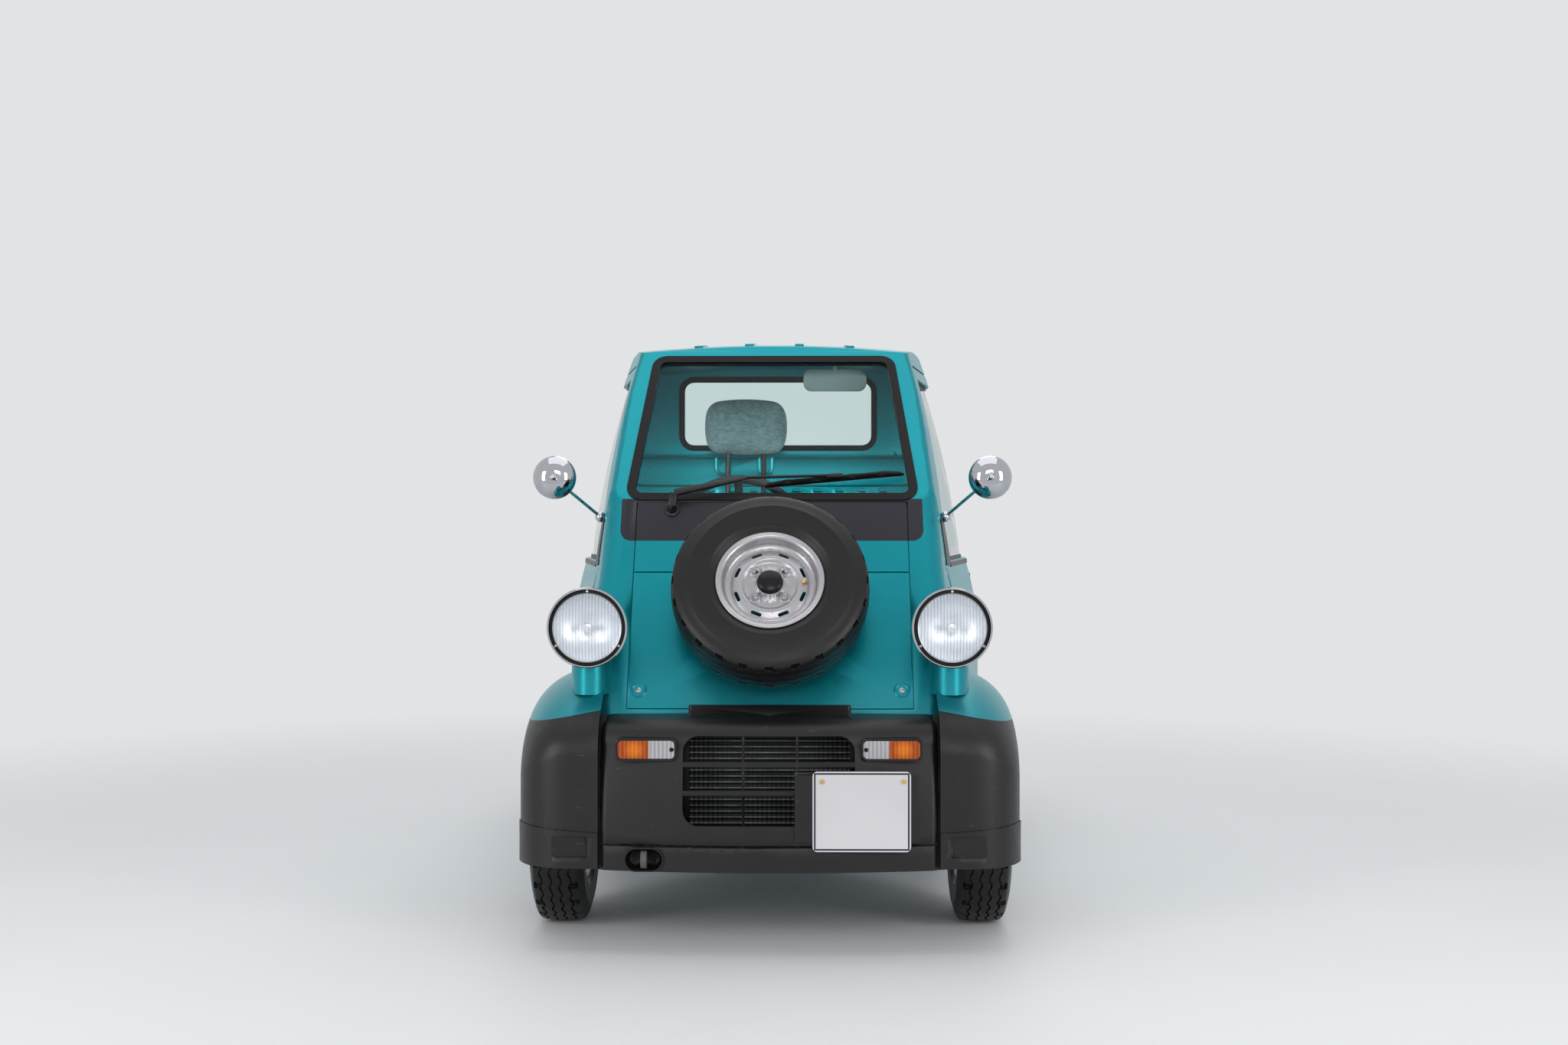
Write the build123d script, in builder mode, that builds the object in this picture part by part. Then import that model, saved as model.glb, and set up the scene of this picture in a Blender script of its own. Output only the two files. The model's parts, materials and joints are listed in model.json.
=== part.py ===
from build123d import *
from math import atan2, cos, hypot, radians, sin
import os

# A small single-seat cab-over truck: a leaning nose that carries the spare wheel, round lamps in the
# nooks between nose and fenders, two doors, and an open load bed with a drop tailgate.
# Millimetres, +Z up. The front faces -Y, the driver sits on the -X side, and the origin is on the
# ground under the middle of the truck. The front end keeps its place when the length changes.

os.makedirs("parts", exist_ok=True)

# Overall sizes
overall_length = 2790
overall_height = 1650
wheelbase = 1840
front_overhang = 466
track_front = 1128
track_rear = 1110
front_end_y = -1395
rear_end_y = front_end_y + overall_length
front_axle_y = front_end_y + front_overhang
rear_axle_y = front_axle_y + wheelbase

# Wheels and tyres
tyre_radius = 260
tyre_width = 143
rim_flange_radius = 142
bead_radius = 127
rim_wall = 4
disc_offset = 26
stud_circle = 110
stud_hole = 13
hub_bore_radius = 30
axle_z = tyre_radius
fit = 0.3
running = 5

# Cab
cab_rear_y = 321
plan_taper = 0.17
taper_start_y = -170
cab_front_y = -1300
sill_z = 300
roof_rib_height = 6
roof_crown_z = overall_height - roof_rib_height
roof_crown_y = 0
roof_cross_radius = 4160
roof_long_radius = 3800
side_wall = 48
roof_wall = 26
nose_wall = 38
screen_wall = 30
rear_wall_thick = 28
door_bottom_z = 430
door_top_z = roof_crown_z - 92
door_rear_y = 115
door_gap = 6
hinge_gap = 11
floor_z = 396
floor_thick = 20
deck_z = 690

# Nose and windshield, two leaning planes that meet at the foot of the glass
nose_foot_z = 601
nose_foot_y = -1202
screen_foot_z = 1147
screen_foot_y = -880
screen_top_z = roof_crown_z - 69
screen_top_y = -550
screen_foot_half = 410
screen_top_half = 353
panel_half = 375
panel_thick = 12
panel_split_z = 952
seam = 3
glass = 5
seal_width = 24
seal_depth = 16

# Rear body
bed_front_y = cab_rear_y + 24
bed_rear_y = rear_end_y - 49
bed_floor_z = 2 * tyre_radius + 120
bed_floor_thick = 30
bed_half = 605
bed_wall = 30
bed_foot_z = 2 * tyre_radius + 40
bed_top_z = bed_floor_z + 250
gate_thick = 30

# Ladder frame
rail_x = 295
rail_width = 50
rail_height = 70
rail_rear_z = tyre_radius + 220
rail_kick_start_y = 480
rail_kick_end_y = 640

# The two leaning planes, with their own up direction along the slope
nose_run = screen_foot_y - nose_foot_y
nose_rise = screen_foot_z - nose_foot_z
nose_slope = hypot(nose_run, nose_rise)
nose_plane = Plane(
    origin=(0, nose_foot_y, nose_foot_z),
    x_dir=(1, 0, 0),
    z_dir=(0, -nose_rise / nose_slope, nose_run / nose_slope),
)
screen_run = screen_top_y - screen_foot_y
screen_rise = screen_top_z - screen_foot_z
screen_slope = hypot(screen_run, screen_rise)
screen_plane = Plane(
    origin=(0, screen_foot_y, screen_foot_z),
    x_dir=(1, 0, 0),
    z_dir=(0, -screen_rise / screen_slope, screen_run / screen_slope),
)
panel_split = (panel_split_z - nose_foot_z) / nose_rise * nose_slope


def xz_plane(y):
    """Upright plane across the truck at y, with local x along +X and local y up."""
    return Plane.XZ.offset(-y)


def yz_plane(x):
    """Upright plane along the truck at x, with local x along +Y and local y up."""
    return Plane.YZ.offset(x)


def cab_profile(inset, shift, bottom_z):
    """Half of the cab's cross section: the side with its tumblehome, moved in by inset and shift."""
    inward = inset + shift
    foot = (600 - inward, bottom_z)
    low = (636 - inward, 470)
    flank = (636 - inward, 740)
    shoulder = (625 - inward, 850)
    belt = (600 - inward, 960)
    waist = (553 - inward, 1247)
    cant = (455 - inward, roof_crown_z - 54)
    corner = (438 - inward, roof_crown_z - 27)
    gutter = (405 - inward, roof_crown_z - 13)
    with BuildLine() as outline:
        Polyline((0, bottom_z), foot, low, flank)
        ThreePointArc(flank, shoulder, belt)
        ThreePointArc(belt, waist, cant)
        ThreePointArc(cant, corner, gutter)
        Polyline(gutter, (340 - inward, roof_crown_z + 76), (0, roof_crown_z + 76), (0, bottom_z))
    return outline


def roof_envelope(inset):
    """Everything under the roof skin, which is crowned along and across the truck."""
    half = 720
    crown = roof_crown_z - inset
    edge = crown - half**2 / (2 * roof_cross_radius)
    with BuildPart() as envelope:
        with BuildSketch(xz_plane(roof_crown_y)):
            with BuildLine():
                ThreePointArc((-half, edge), (0, crown), (half, edge))
                Polyline((half, edge), (half, -200), (-half, -200), (-half, edge))
            make_face()
        revolve(
            axis=Axis((0, roof_crown_y, roof_crown_z - roof_long_radius), (1, 0, 0)),
            revolution_arc=40,
        )
        mirror(about=Plane.XZ.offset(-roof_crown_y))
    return envelope.part


def cab_block(inset, roof_inset, nose_inset, screen_inset, bottom_z):
    """The cab as one solid, with its walls moved in by the insets; it is open to no side."""
    with BuildPart() as block:
        for y, shift in ((cab_front_y, plan_taper * (taper_start_y - cab_front_y)), (taper_start_y, 0)):
            with BuildSketch(xz_plane(y)):
                add(cab_profile(inset, shift, bottom_z).line)
                make_face()
        loft(ruled=True)
        with BuildSketch(xz_plane(taper_start_y)):
            add(cab_profile(inset, 0, bottom_z).line)
            make_face()
        extrude(amount=-(cab_rear_y - taper_start_y))
        mirror(about=Plane.YZ)
        split(bisect_by=nose_plane.offset(-nose_inset), keep=Keep.BOTTOM)
        split(bisect_by=screen_plane.offset(-screen_inset), keep=Keep.BOTTOM)
        add(roof_envelope(roof_inset), mode=Mode.INTERSECT)
    return block


def side_slab(points, inner_x, outer_x, radius=0):
    """A side-view outline (y, z), extruded across the +X side from inner_x to outer_x."""
    with BuildPart() as slab:
        with BuildSketch(yz_plane(inner_x)) as outline:
            with BuildLine():
                Polyline(*points, close=True)
            make_face()
            if radius:
                fillet(outline.vertices(), radius)
        extrude(amount=outer_x - inner_x)
    return slab.part


def screen_y(z, behind=0):
    """Where the windshield plane passes at height z, moved back by behind along Y."""
    return screen_foot_y + (z - screen_foot_z) * screen_run / screen_rise + behind


def pair_of(part):
    """The piece and its mirror image on the other side of the truck."""
    with BuildPart() as pair:
        add(part)
        mirror(part, about=Plane.YZ)
    return pair.part


def rod(start, end, radius):
    """A round bar from one point to another."""
    direction = Vector(*end) - Vector(*start)
    with BuildPart() as bar:
        with BuildSketch(Plane(origin=start, z_dir=direction)):
            Circle(radius)
        extrude(amount=direction.length)
    return bar.part


def slab(x0, x1, y0, y1, z0, z1):
    """A plain rectangular block between two corners."""
    with BuildPart() as block:
        with Locations(((x0 + x1) / 2, (y0 + y1) / 2, (z0 + z1) / 2)):
            Box(abs(x1 - x0), abs(y1 - y0), abs(z1 - z0))
    return block.part


# Rounded corners of the cab's front. Columns: distance up the slope, half width of the leaning face
# there, and how fast the side spreads behind it. The last row lies past the face and spreads away.
nose_corner = 60
nose_corner_rows = (
    (-400, 426, 0.15),
    (-152, 447, 0.15),
    (161, 474.5, 0.15),
    (289, 474.5, 0.22),
    (417, 460.5, 0.24),
    (634, 452, 0.24),
    (1750, 640, 0.24),
)
pillar_corner = 26
pillar_corner_rows = (
    (-900, 700, 0.24),
    (0, 452, 0.24),
    (273, 432.6, 0.25),
    (419, 417.8, 0.28),
    (556, 393, 0.33),
    (1500, 393, 0.33),
)


def rounded_front(plane, rows, radius):
    """Everything behind a leaning face whose two upright edges are rounded."""
    depth = 1700
    with BuildPart() as envelope:
        for run, half, flare in rows:
            lean = hypot(1, flare)
            middle = half + flare * radius - radius * lean + 0.4
            end = (middle + radius / lean, radius - radius * flare / lean)
            turn = (radians(90) - atan2(flare, 1)) / 2
            halfway = (middle + radius * sin(turn), radius - radius * cos(turn))
            back = end[1] + depth
            origin = plane.origin + plane.y_dir * run
            with BuildSketch(Plane(origin=origin, x_dir=(1, 0, 0), z_dir=plane.y_dir)):
                with BuildLine():
                    Line((0, 0), (middle, 0))
                    ThreePointArc((middle, 0), halfway, end)
                    Polyline(end, (end[0] + (flare + 0.05) * depth, back), (0, back), (0, 0))
                make_face()
        loft(ruled=True)
        mirror(about=Plane.YZ)
    return envelope.part


# The cab as one outer and one inner block; what lies between them is split into the real panels
with BuildPart() as cab_body:
    add(cab_block(0, 0, 0, 0, sill_z).part)
    add(rounded_front(nose_plane, nose_corner_rows, nose_corner), mode=Mode.INTERSECT)
    add(rounded_front(screen_plane, pillar_corner_rows, pillar_corner), mode=Mode.INTERSECT)
cab_outer = cab_body.part
cab_inner = cab_block(side_wall, roof_wall, nose_wall, screen_wall, 200).part
cab_walls = cab_outer - cab_inner

# Wheel houses: the room that the steered front wheels swing in
well_inner_x = rail_x + rail_width / 2 + 12
well_rear_y = front_axle_y + 304
well_top_z = axle_z + 328
well_wall = 12

# Door opening in side view, and the door with its running gap inside it
pillar_depth = 46
hinge_edge_y = -868
door_front_points = (
    (-545, door_bottom_z),
    (-565, 560),
    (-620, 660),
    (-735, 722),
    (hinge_edge_y, 880),
)


def door_outline(front_gap, gap):
    """Corner points of the door opening, drawn in by its gaps, from the lower front corner upward."""
    front = [(y + front_gap, z + gap) for y, z in door_front_points[:-1]]
    edge_y = hinge_edge_y + front_gap
    front.append((edge_y, door_front_points[-1][1] + gap))
    knee_z = screen_foot_z + (edge_y - screen_foot_y - pillar_depth - gap) * screen_rise / screen_run
    front.append((edge_y, knee_z))
    top_z = door_top_z - gap
    front.append((screen_y(top_z, pillar_depth + gap), top_z))
    front.append((door_rear_y - gap, top_z))
    front.append((door_rear_y - gap, door_bottom_z + gap))
    return front


door_opening = side_slab(door_outline(0, 0), 330, 700)
door_zone = side_slab(door_outline(hinge_gap, door_gap), 330, 700)

# Window opening of a door, with the black corner panel for the mirror below its front end
window_sill_z = 976
window_top_z = door_top_z - 40
window_rear_y = 62
corner_panel_y = -720
corner_panel_z = 1104
window_points = (
    (corner_panel_y, window_sill_z),
    (screen_y(corner_panel_z + 60, pillar_depth + 62), corner_panel_z),
    (screen_y(window_top_z, pillar_depth + 52), window_top_z),
    (window_rear_y, window_top_z),
    (window_rear_y + 14, window_sill_z),
)
window_hole = side_slab(window_points, 330, 700, 28)
pane_inset = 18

# Roof panel between the two gutters
roof_half = 372
roof_front_y = -505
roof_rear_y = 284
roof_rib_x = (-226, -75, 75, 226)
roof_rib_width = 26
roof_zone = slab(-roof_half, roof_half, roof_front_y, roof_rear_y, door_top_z + 8, roof_crown_z + 76)

# Windshield opening, a rounded trapezium in the plane of the glass
screen_corner = 46


def screen_sketch(margin):
    """The windshield's outline in its own plane, drawn in by margin."""
    with BuildSketch() as outline:
        Polygon(
            (-screen_foot_half, 0),
            (screen_foot_half, 0),
            (screen_top_half, screen_slope),
            (-screen_top_half, screen_slope),
            align=None,
        )
        fillet(outline.vertices(), screen_corner)
        if margin:
            offset(amount=-margin)
    return outline.sketch


def screen_layer(margin, top, bottom):
    """A layer of the windshield's outline, from top down to bottom, measured out from the glass plane."""
    with BuildPart() as layer:
        with BuildSketch(screen_plane.offset(top)):
            add(screen_sketch(margin))
        extrude(amount=bottom - top)
    return layer.part


screen_hole = screen_layer(0, 40, -110)

# Pocket in the nose for its two panels
with BuildPart() as nose_pocket:
    with BuildSketch(nose_plane.offset(20)):
        with Locations((0, (nose_slope - 4) / 2)):
            Rectangle(2 * panel_half, nose_slope - 4)
    extrude(amount=-(20 + panel_thick))

# Rear window
rear_window_half = 338
rear_window_foot_z = roof_crown_z - 315
rear_window_top_z = roof_crown_z - 61
rear_window_corner = 52
with BuildPart() as rear_window_hole:
    with BuildSketch(xz_plane(cab_rear_y + 20)):
        with Locations((0, (rear_window_foot_z + rear_window_top_z) / 2)):
            RectangleRounded(
                2 * rear_window_half, rear_window_top_z - rear_window_foot_z, rear_window_corner
            )
    extrude(amount=rear_wall_thick + 60)

# Door hinges: two pairs of lugs with a pin on each door post, on an axis that leans in with the side
hinge_x = 491
hinge_y = -848
hinge_z = 880
hinge_lean = 0.13
hinge_radius = 6
pin_radius = 3
lug_height = 14
lug_gap = 3
hinge_heights = (902, 1036)
hinge_length = 50


def hinge_x_at(z):
    """Distance of the hinge axis from the middle of the truck at height z."""
    return hinge_x - hinge_lean * (z - hinge_z)


def hinge_rod(low_z, high_z, radius):
    """A round bar on the hinge axis between two heights."""
    return rod((hinge_x_at(low_z), hinge_y, low_z), (hinge_x_at(high_z), hinge_y, high_z), radius)


with BuildPart() as hinge_lugs:
    for foot in hinge_heights:
        for low in (foot, foot + hinge_length - lug_height):
            x = hinge_x_at(low + lug_height / 2)
            add(hinge_rod(low, low + lug_height, hinge_radius))
            add(slab(x - hinge_radius, x + hinge_radius, hinge_edge_y - 8, hinge_y, low, low + lug_height))
        add(hinge_rod(foot + 2, foot + hinge_length - 2, pin_radius))
    add(cab_outer, mode=Mode.INTERSECT)
with BuildPart() as hinge_pockets:
    for foot in hinge_heights:
        for low in (foot, foot + hinge_length - lug_height):
            x = hinge_x_at(low + lug_height / 2)
            back = hinge_y + hinge_radius + 3
            add(slab(x - hinge_radius - 3, 700, hinge_edge_y, back, low - lug_gap, low + lug_height + lug_gap))
        add(hinge_rod(foot, foot + hinge_length, pin_radius + fit))

with BuildPart() as cab_shell:
    add(cab_walls)
    add(door_opening, mode=Mode.SUBTRACT)
    mirror(door_opening, about=Plane.YZ, mode=Mode.SUBTRACT)
    add(roof_zone, mode=Mode.SUBTRACT)
    add(screen_hole, mode=Mode.SUBTRACT)
    add(nose_pocket.part, mode=Mode.SUBTRACT)
    add(slab(-700, 700, cab_front_y - 60, well_rear_y, 100, well_top_z), mode=Mode.SUBTRACT)
    add(hinge_lugs.part)
    mirror(hinge_lugs.part, about=Plane.YZ)
cab_shell.part.label = "cab_shell"
export_step(cab_shell.part, "parts/cab_shell.step")

# Rear wall: a shelf bead under its window, a stepped lower half with upright swages, and two
# pressed loops in which the posts of the headrest can be seen
wall_face_y = cab_rear_y - rear_wall_thick
wall_shelf_z = 1303
wall_step_z = 1210
wall_swage_x = (-303, -229, -155, -81, 62, 136, 210, 284, 355)
wall_loop_x = (-188, -42)
with BuildPart() as rear_wall:
    add(cab_inner)
    add(slab(-700, 700, cab_rear_y - rear_wall_thick, cab_rear_y + 20, floor_z, 1700), mode=Mode.INTERSECT)
    add(rear_window_hole.part, mode=Mode.SUBTRACT)
    add(cab_inner & slab(-700, 700, wall_face_y - 8, wall_face_y, deck_z + 120, wall_step_z))
    add(cab_inner & slab(-700, 700, wall_face_y - 7, wall_face_y, wall_shelf_z, wall_shelf_z + 9))
    for x in wall_swage_x:
        with Locations((x, wall_face_y - 6, (deck_z + 130 + wall_step_z - 12) / 2)):
            Box(30, 14, wall_step_z - 12 - deck_z - 130, mode=Mode.SUBTRACT)
    with BuildSketch(xz_plane(wall_face_y)):
        with Locations(*[(x, wall_shelf_z - 12) for x in wall_loop_x]):
            SlotOverall(100, 56, rotation=90)
            SlotOverall(74, 30, rotation=90, mode=Mode.SUBTRACT)
        with Locations((0, wall_shelf_z + 50)):
            Rectangle(700, 100, mode=Mode.SUBTRACT)
    extrude(amount=5)
rear_wall.part.label = "rear_wall"
export_step(rear_wall.part, "parts/rear_wall.step")

with BuildPart() as roof_ribs:
    for x in roof_rib_x:
        half = roof_rib_width / 2
        add(slab(x - half, x + half, roof_front_y + 30, roof_rear_y - 30, door_top_z + 8, roof_crown_z + 76))
    add(roof_envelope(-roof_rib_height), mode=Mode.INTERSECT)
    add(cab_inner, mode=Mode.SUBTRACT)
with BuildPart() as cab_roof:
    add(cab_walls)
    add(roof_zone, mode=Mode.INTERSECT)
    add(roof_ribs.part)
cab_roof.part.label = "cab_roof"
export_step(cab_roof.part, "parts/cab_roof.step")

# Glass that the cab carries: windshield in its rubber frame, and the rear window
windshield = screen_layer(14, -5, -5 - glass)
with BuildPart() as windshield_seal:
    add(screen_layer(0, 4, -seal_depth))
    add(screen_layer(seal_width, 10, -seal_depth - 10), mode=Mode.SUBTRACT)
    add(windshield, mode=Mode.SUBTRACT)
windshield_seal.part.label = "windshield_seal"
export_step(windshield_seal.part, "parts/windshield_seal.step")

with BuildPart() as rear_pane:
    add(rear_window_hole.part)
    add(slab(-700, 700, cab_rear_y - 16, cab_rear_y - 16 + glass, 1000, 1700), mode=Mode.INTERSECT)
with BuildPart() as cab_glass:
    add(windshield)
    add(rear_pane.part)
cab_glass.part.label = "cab_glass"
export_step(cab_glass.part, "parts/cab_glass.step")

# Nose panels: the lower one carries the spare wheel on a raised cone, the upper one the wiper
spare_y = -1160
spare_z = 909
spare_plane = Plane(origin=(0, spare_y, spare_z), x_dir=(1, 0, 0), z_dir=nose_plane.z_dir)
spare_stand_off = nose_plane.to_local_coords(Vector(0, spare_y, spare_z)).Z
spare_up_slope = nose_plane.to_local_coords(Vector(0, spare_y, spare_z)).Y
spare_seat = spare_stand_off + disc_offset - rim_wall


def nose_sheet(low, high):
    """A panel of the nose between two places on the slope, seated in the pocket."""
    with BuildPart() as sheet:
        with BuildSketch(nose_plane.offset(-panel_thick)):
            with Locations((0, (low + high) / 2)):
                Rectangle(2 * (panel_half - seam), high - low)
        extrude(amount=panel_thick)
        fillet(sheet.faces().sort_by(Axis((0, 0, 0), nose_plane.z_dir))[-1].edges(), 2)
    return sheet.part


with BuildPart() as nose_panel:
    add(nose_sheet(seam, panel_split - seam / 2))
    with BuildSketch(nose_plane):
        with Locations((0, spare_up_slope)):
            Circle(92)
    with BuildSketch(nose_plane.offset(spare_seat)):
        with Locations((0, spare_up_slope)):
            Circle(66)
    loft()
nose_panel.part.label = "nose_panel"
export_step(nose_panel.part, "parts/nose_panel.step")

cowl_panel = nose_sheet(panel_split + seam / 2, nose_slope - 5)
cowl_panel.label = "cowl_panel"
export_step(cowl_panel, "parts/cowl_panel.step")

# Doors, built on the +X side and mirrored
mirror_foot = (487, -780, 1102)
mirror_head = (605, -870, 1211)
mirror_dome_radius = 60
mirror_dome_depth = 36
door_blank = (cab_walls & door_zone) - window_hole - hinge_pockets.part
pane_layer = (
    cab_block(pane_inset, roof_wall, nose_wall, screen_wall, 200).part
    - cab_block(pane_inset + glass, roof_wall, nose_wall, screen_wall, 200).part
)
door_pane = pane_layer & window_hole

with BuildPart() as mirror_right_hand:
    with BuildSketch(yz_plane(mirror_head[0])):
        with BuildLine():
            ThreePointArc(
                (mirror_head[1] - mirror_dome_depth, mirror_head[2]),
                (mirror_head[1] - 0.72 * mirror_dome_depth, mirror_head[2] + 0.70 * mirror_dome_radius),
                (mirror_head[1], mirror_head[2] + mirror_dome_radius),
            )
            Line(
                (mirror_head[1], mirror_head[2] + mirror_dome_radius),
                (mirror_head[1] + 4, mirror_head[2] + mirror_dome_radius),
            )
            Line(
                (mirror_head[1] + 4, mirror_head[2] + mirror_dome_radius),
                (mirror_head[1] + 4, mirror_head[2]),
            )
            Line(
                (mirror_head[1] + 4, mirror_head[2]),
                (mirror_head[1] - mirror_dome_depth, mirror_head[2]),
            )
        make_face()
    revolve(axis=Axis(mirror_head, (0, 1, 0)))
    front_pole = (mirror_head[0], mirror_head[1] - mirror_dome_depth - 6, mirror_head[2])
    add(rod(mirror_foot, front_pole, 4.5))
    with Locations(front_pole):
        Sphere(9)
    with Locations(mirror_foot):
        Sphere(15)
    add(cab_outer, mode=Mode.SUBTRACT)

# Black trim of a door: corner panel under the mirror, strip along the window sill, and pull handle
trim_thick = 3
sail_points = (
    (hinge_y + hinge_radius + 5, window_sill_z - 10),
    (corner_panel_y - 8, window_sill_z - 10),
    (screen_y(corner_panel_z + 60, pillar_depth + 62) - 10, corner_panel_z - 2),
    (hinge_y + hinge_radius + 5, corner_panel_z - 2),
)
handle_y = 20
handle_z = 910
with BuildPart() as door_trim:
    add(cab_block(-trim_thick, -2, 0, 0, sill_z).part)
    add(cab_outer, mode=Mode.SUBTRACT)
    with BuildPart(mode=Mode.INTERSECT):
        add(side_slab(sail_points, 330, 700, 6))
        add(slab(330, 700, corner_panel_y, window_rear_y + 14, window_sill_z - 16, window_sill_z - 3))
    with BuildSketch(yz_plane(590)):
        with Locations((handle_y, handle_z)):
            RectangleRounded(138, 34, 10)
    extrude(amount=34)
    fillet(door_trim.faces().sort_by(Axis.X)[-1].edges(), 8)
    add(cab_outer, mode=Mode.SUBTRACT)
    add(mirror_right_hand.part, mode=Mode.SUBTRACT)

for side, name in ((1, "left"), (-1, "right")):
    for piece, label in (
        (door_trim.part, f"door_trim_{name}"),
        (door_blank, f"door_{name}"),
        (door_pane, f"door_glass_{name}"),
        (mirror_right_hand.part, f"mirror_{name}"),
    ):
        with BuildPart() as door_piece:
            if side > 0:
                add(piece)
            else:
                mirror(piece, about=Plane.YZ)
        door_piece.part.label = label
        export_step(door_piece.part, f"parts/{label}.step")

# Floor: pan, foot well between the wheel houses, their tops and rear walls, and the engine cover
deck_half = 530
deck_front_y = -400
deck_inner_rear_y = cab_rear_y - rear_wall_thick
with BuildPart() as cab_floor:
    add(cab_inner)
    add(slab(-700, 700, well_rear_y, deck_inner_rear_y, floor_z, floor_z + floor_thick), mode=Mode.INTERSECT)
    add(slab(-well_inner_x, well_inner_x, nose_foot_y + 24, well_rear_y, floor_z, well_top_z))
    add(cab_outer & slab(-700, 700, nose_foot_y - 2, well_rear_y, well_top_z - well_wall, well_top_z))
    add(cab_inner & slab(-700, 700, well_rear_y, well_rear_y + well_wall, floor_z, well_top_z))
    add(
        slab(
            well_wall - well_inner_x,
            well_inner_x - well_wall,
            nose_foot_y + 24 + well_wall,
            well_rear_y + well_wall,
            floor_z + floor_thick,
            well_top_z + 1,
        ),
        mode=Mode.SUBTRACT,
    )
    add(slab(-deck_half, deck_half, deck_front_y, deck_inner_rear_y, floor_z + floor_thick, deck_z))
    add(
        slab(
            well_wall - deck_half,
            deck_half - well_wall,
            deck_front_y + well_wall,
            deck_inner_rear_y - well_wall,
            floor_z - 1,
            deck_z - well_wall,
        ),
        mode=Mode.SUBTRACT,
    )
cab_floor.part.label = "cab_floor"
export_step(cab_floor.part, "parts/cab_floor.step")

flare_foot_z = axle_z - 45

# Front bumper: a bowed moulding, its section turned about an upright axis far behind it
bumper_bow_radius = 2160
bumper_half = 429
bumper_back_y = nose_foot_y - 14
bumper_wall = 10
bumper_axis = Axis((0, front_end_y + bumper_bow_radius, 0), (0, 0, 1))
grille_half = 216
grille_low_z = 327
grille_high_z = 549
grille_corner = 40
signal_x = 308
signal_z = 516
signal_width = 154
signal_height = 57
tow_x = -rail_x - 18
tow_z = 242


def bumper_section(back, drop):
    """Side view of the bumper: top ledge, rolled shoulder and bowed face."""
    with BuildSketch(Plane.YZ) as section:
        with BuildLine():
            y = front_end_y + back
            ledge = (bumper_back_y + 60, 597 - drop)
            shoulder_start = (y + 95, 588 - drop)
            shoulder_end = (y + 28, 520 - drop)
            foot = (y + 5, flare_foot_z - 4 - 3 * drop)
            Line(ledge, shoulder_start)
            ThreePointArc(shoulder_start, (y + 46, 566 - drop), shoulder_end)
            ThreePointArc(shoulder_end, (y + 10, 395), foot)
            Polyline(foot, (bumper_back_y + 60, foot[1]), ledge)
        make_face()
    return section.sketch


def bumper_body(back, drop):
    """The bowed section as a full block across the truck."""
    with BuildPart() as turned:
        add(bumper_section(back, drop))
        revolve(axis=bumper_axis, revolution_arc=14)
        mirror(about=Plane.YZ)
    return turned.part


bumper_cavity = bumper_body(bumper_wall, bumper_wall)

# Ladder frame with its kick over the rear axle, spring hangers, bumper brackets and lamp carrier
frame_front_y = -1236
frame_rear_y = rear_end_y - 59
leaf_x = rail_x + 105
leaf_width = 50
leaf_half_length = 409
leaf_eye_z = axle_z + 110
leaf_front_y = rear_axle_y - leaf_half_length
leaf_rear_y = rear_axle_y + leaf_half_length
rail_outer_x = rail_x + rail_width / 2
rail_inner_x = rail_x - rail_width / 2
rail_top_front = floor_z
rail_low_front = floor_z - rail_height
rail_low_rear = rail_rear_z
rail_points = (
    (frame_front_y, rail_low_front),
    (rail_kick_start_y, rail_low_front),
    (rail_kick_end_y, rail_low_rear),
    (frame_rear_y, rail_low_rear),
    (frame_rear_y, rail_low_rear + rail_height),
    (rail_kick_end_y - 20, rail_low_rear + rail_height),
    (rail_kick_start_y - 20, rail_top_front),
    (frame_front_y, rail_top_front),
)
with BuildPart() as rail:
    add(side_slab(rail_points, rail_inner_x, rail_outer_x))
    leaf_outer_x = leaf_x + leaf_width / 2
    add(slab(rail_outer_x, leaf_outer_x, leaf_front_y - 16, leaf_front_y, leaf_eye_z - 24, rail_top_front))
    add(slab(rail_outer_x, leaf_outer_x, leaf_rear_y, leaf_rear_y + 16, leaf_eye_z - 10, rail_low_rear + 40))
    add(slab(rail_inner_x, rail_outer_x, frame_front_y, -1400, rail_low_front, rail_low_front + 50) & bumper_cavity)
with BuildPart() as chassis_frame:
    add(rail.part)
    mirror(rail.part, about=Plane.YZ)
    for y, low in (
        (frame_front_y + 20, rail_low_front),
        (-700, rail_low_front),
        (450, rail_low_front),
        (700, rail_low_rear),
        (frame_rear_y - 156, rail_low_rear),
        (frame_rear_y - 25, rail_low_rear),
    ):
        add(slab(-rail_inner_x, rail_inner_x, y - 20, y + 20, low + 8, low + rail_height - 8))
chassis_frame.part.label = "chassis_frame"
export_step(chassis_frame.part, "parts/chassis_frame.step")

# Engine under the deck, with its gearbox, hung on four lugs between the rails
with BuildPart() as engine:
    with Locations((0, -100, 405)):
        Box(430, 440, 430)
    chamfer(engine.edges().filter_by(Axis.Y), 30)
    with Locations((0, 270, 310)):
        Box(240, 300, 150)
    for y in (-250, 60):
        add(slab(-rail_inner_x, rail_inner_x, y - 25, y + 25, 340, 380))
engine.part.label = "engine"
export_step(engine.part, "parts/engine.step")

# Front axle: subframe with lower arms, strut top mounts, and the two knuckles that steer
ball_x = 505
ball_z = axle_z - 60
strut_top_x = 430
strut_top_z = well_top_z - well_wall - 10
strut_lean = (strut_top_x - ball_x) / (strut_top_z - ball_z)
strut_radius = 20
spring_radius = 33
drum_radius = 92
joint_radius = 14
strut_joint_z = well_top_z - well_wall - 20
spindle_radius = hub_bore_radius - 0.5
front_wheel_x = track_front / 2
rear_wheel_x = track_rear / 2


def strut_x(z):
    """Distance of the steering axis from the middle of the truck at height z."""
    return ball_x + strut_lean * (z - ball_z)


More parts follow.
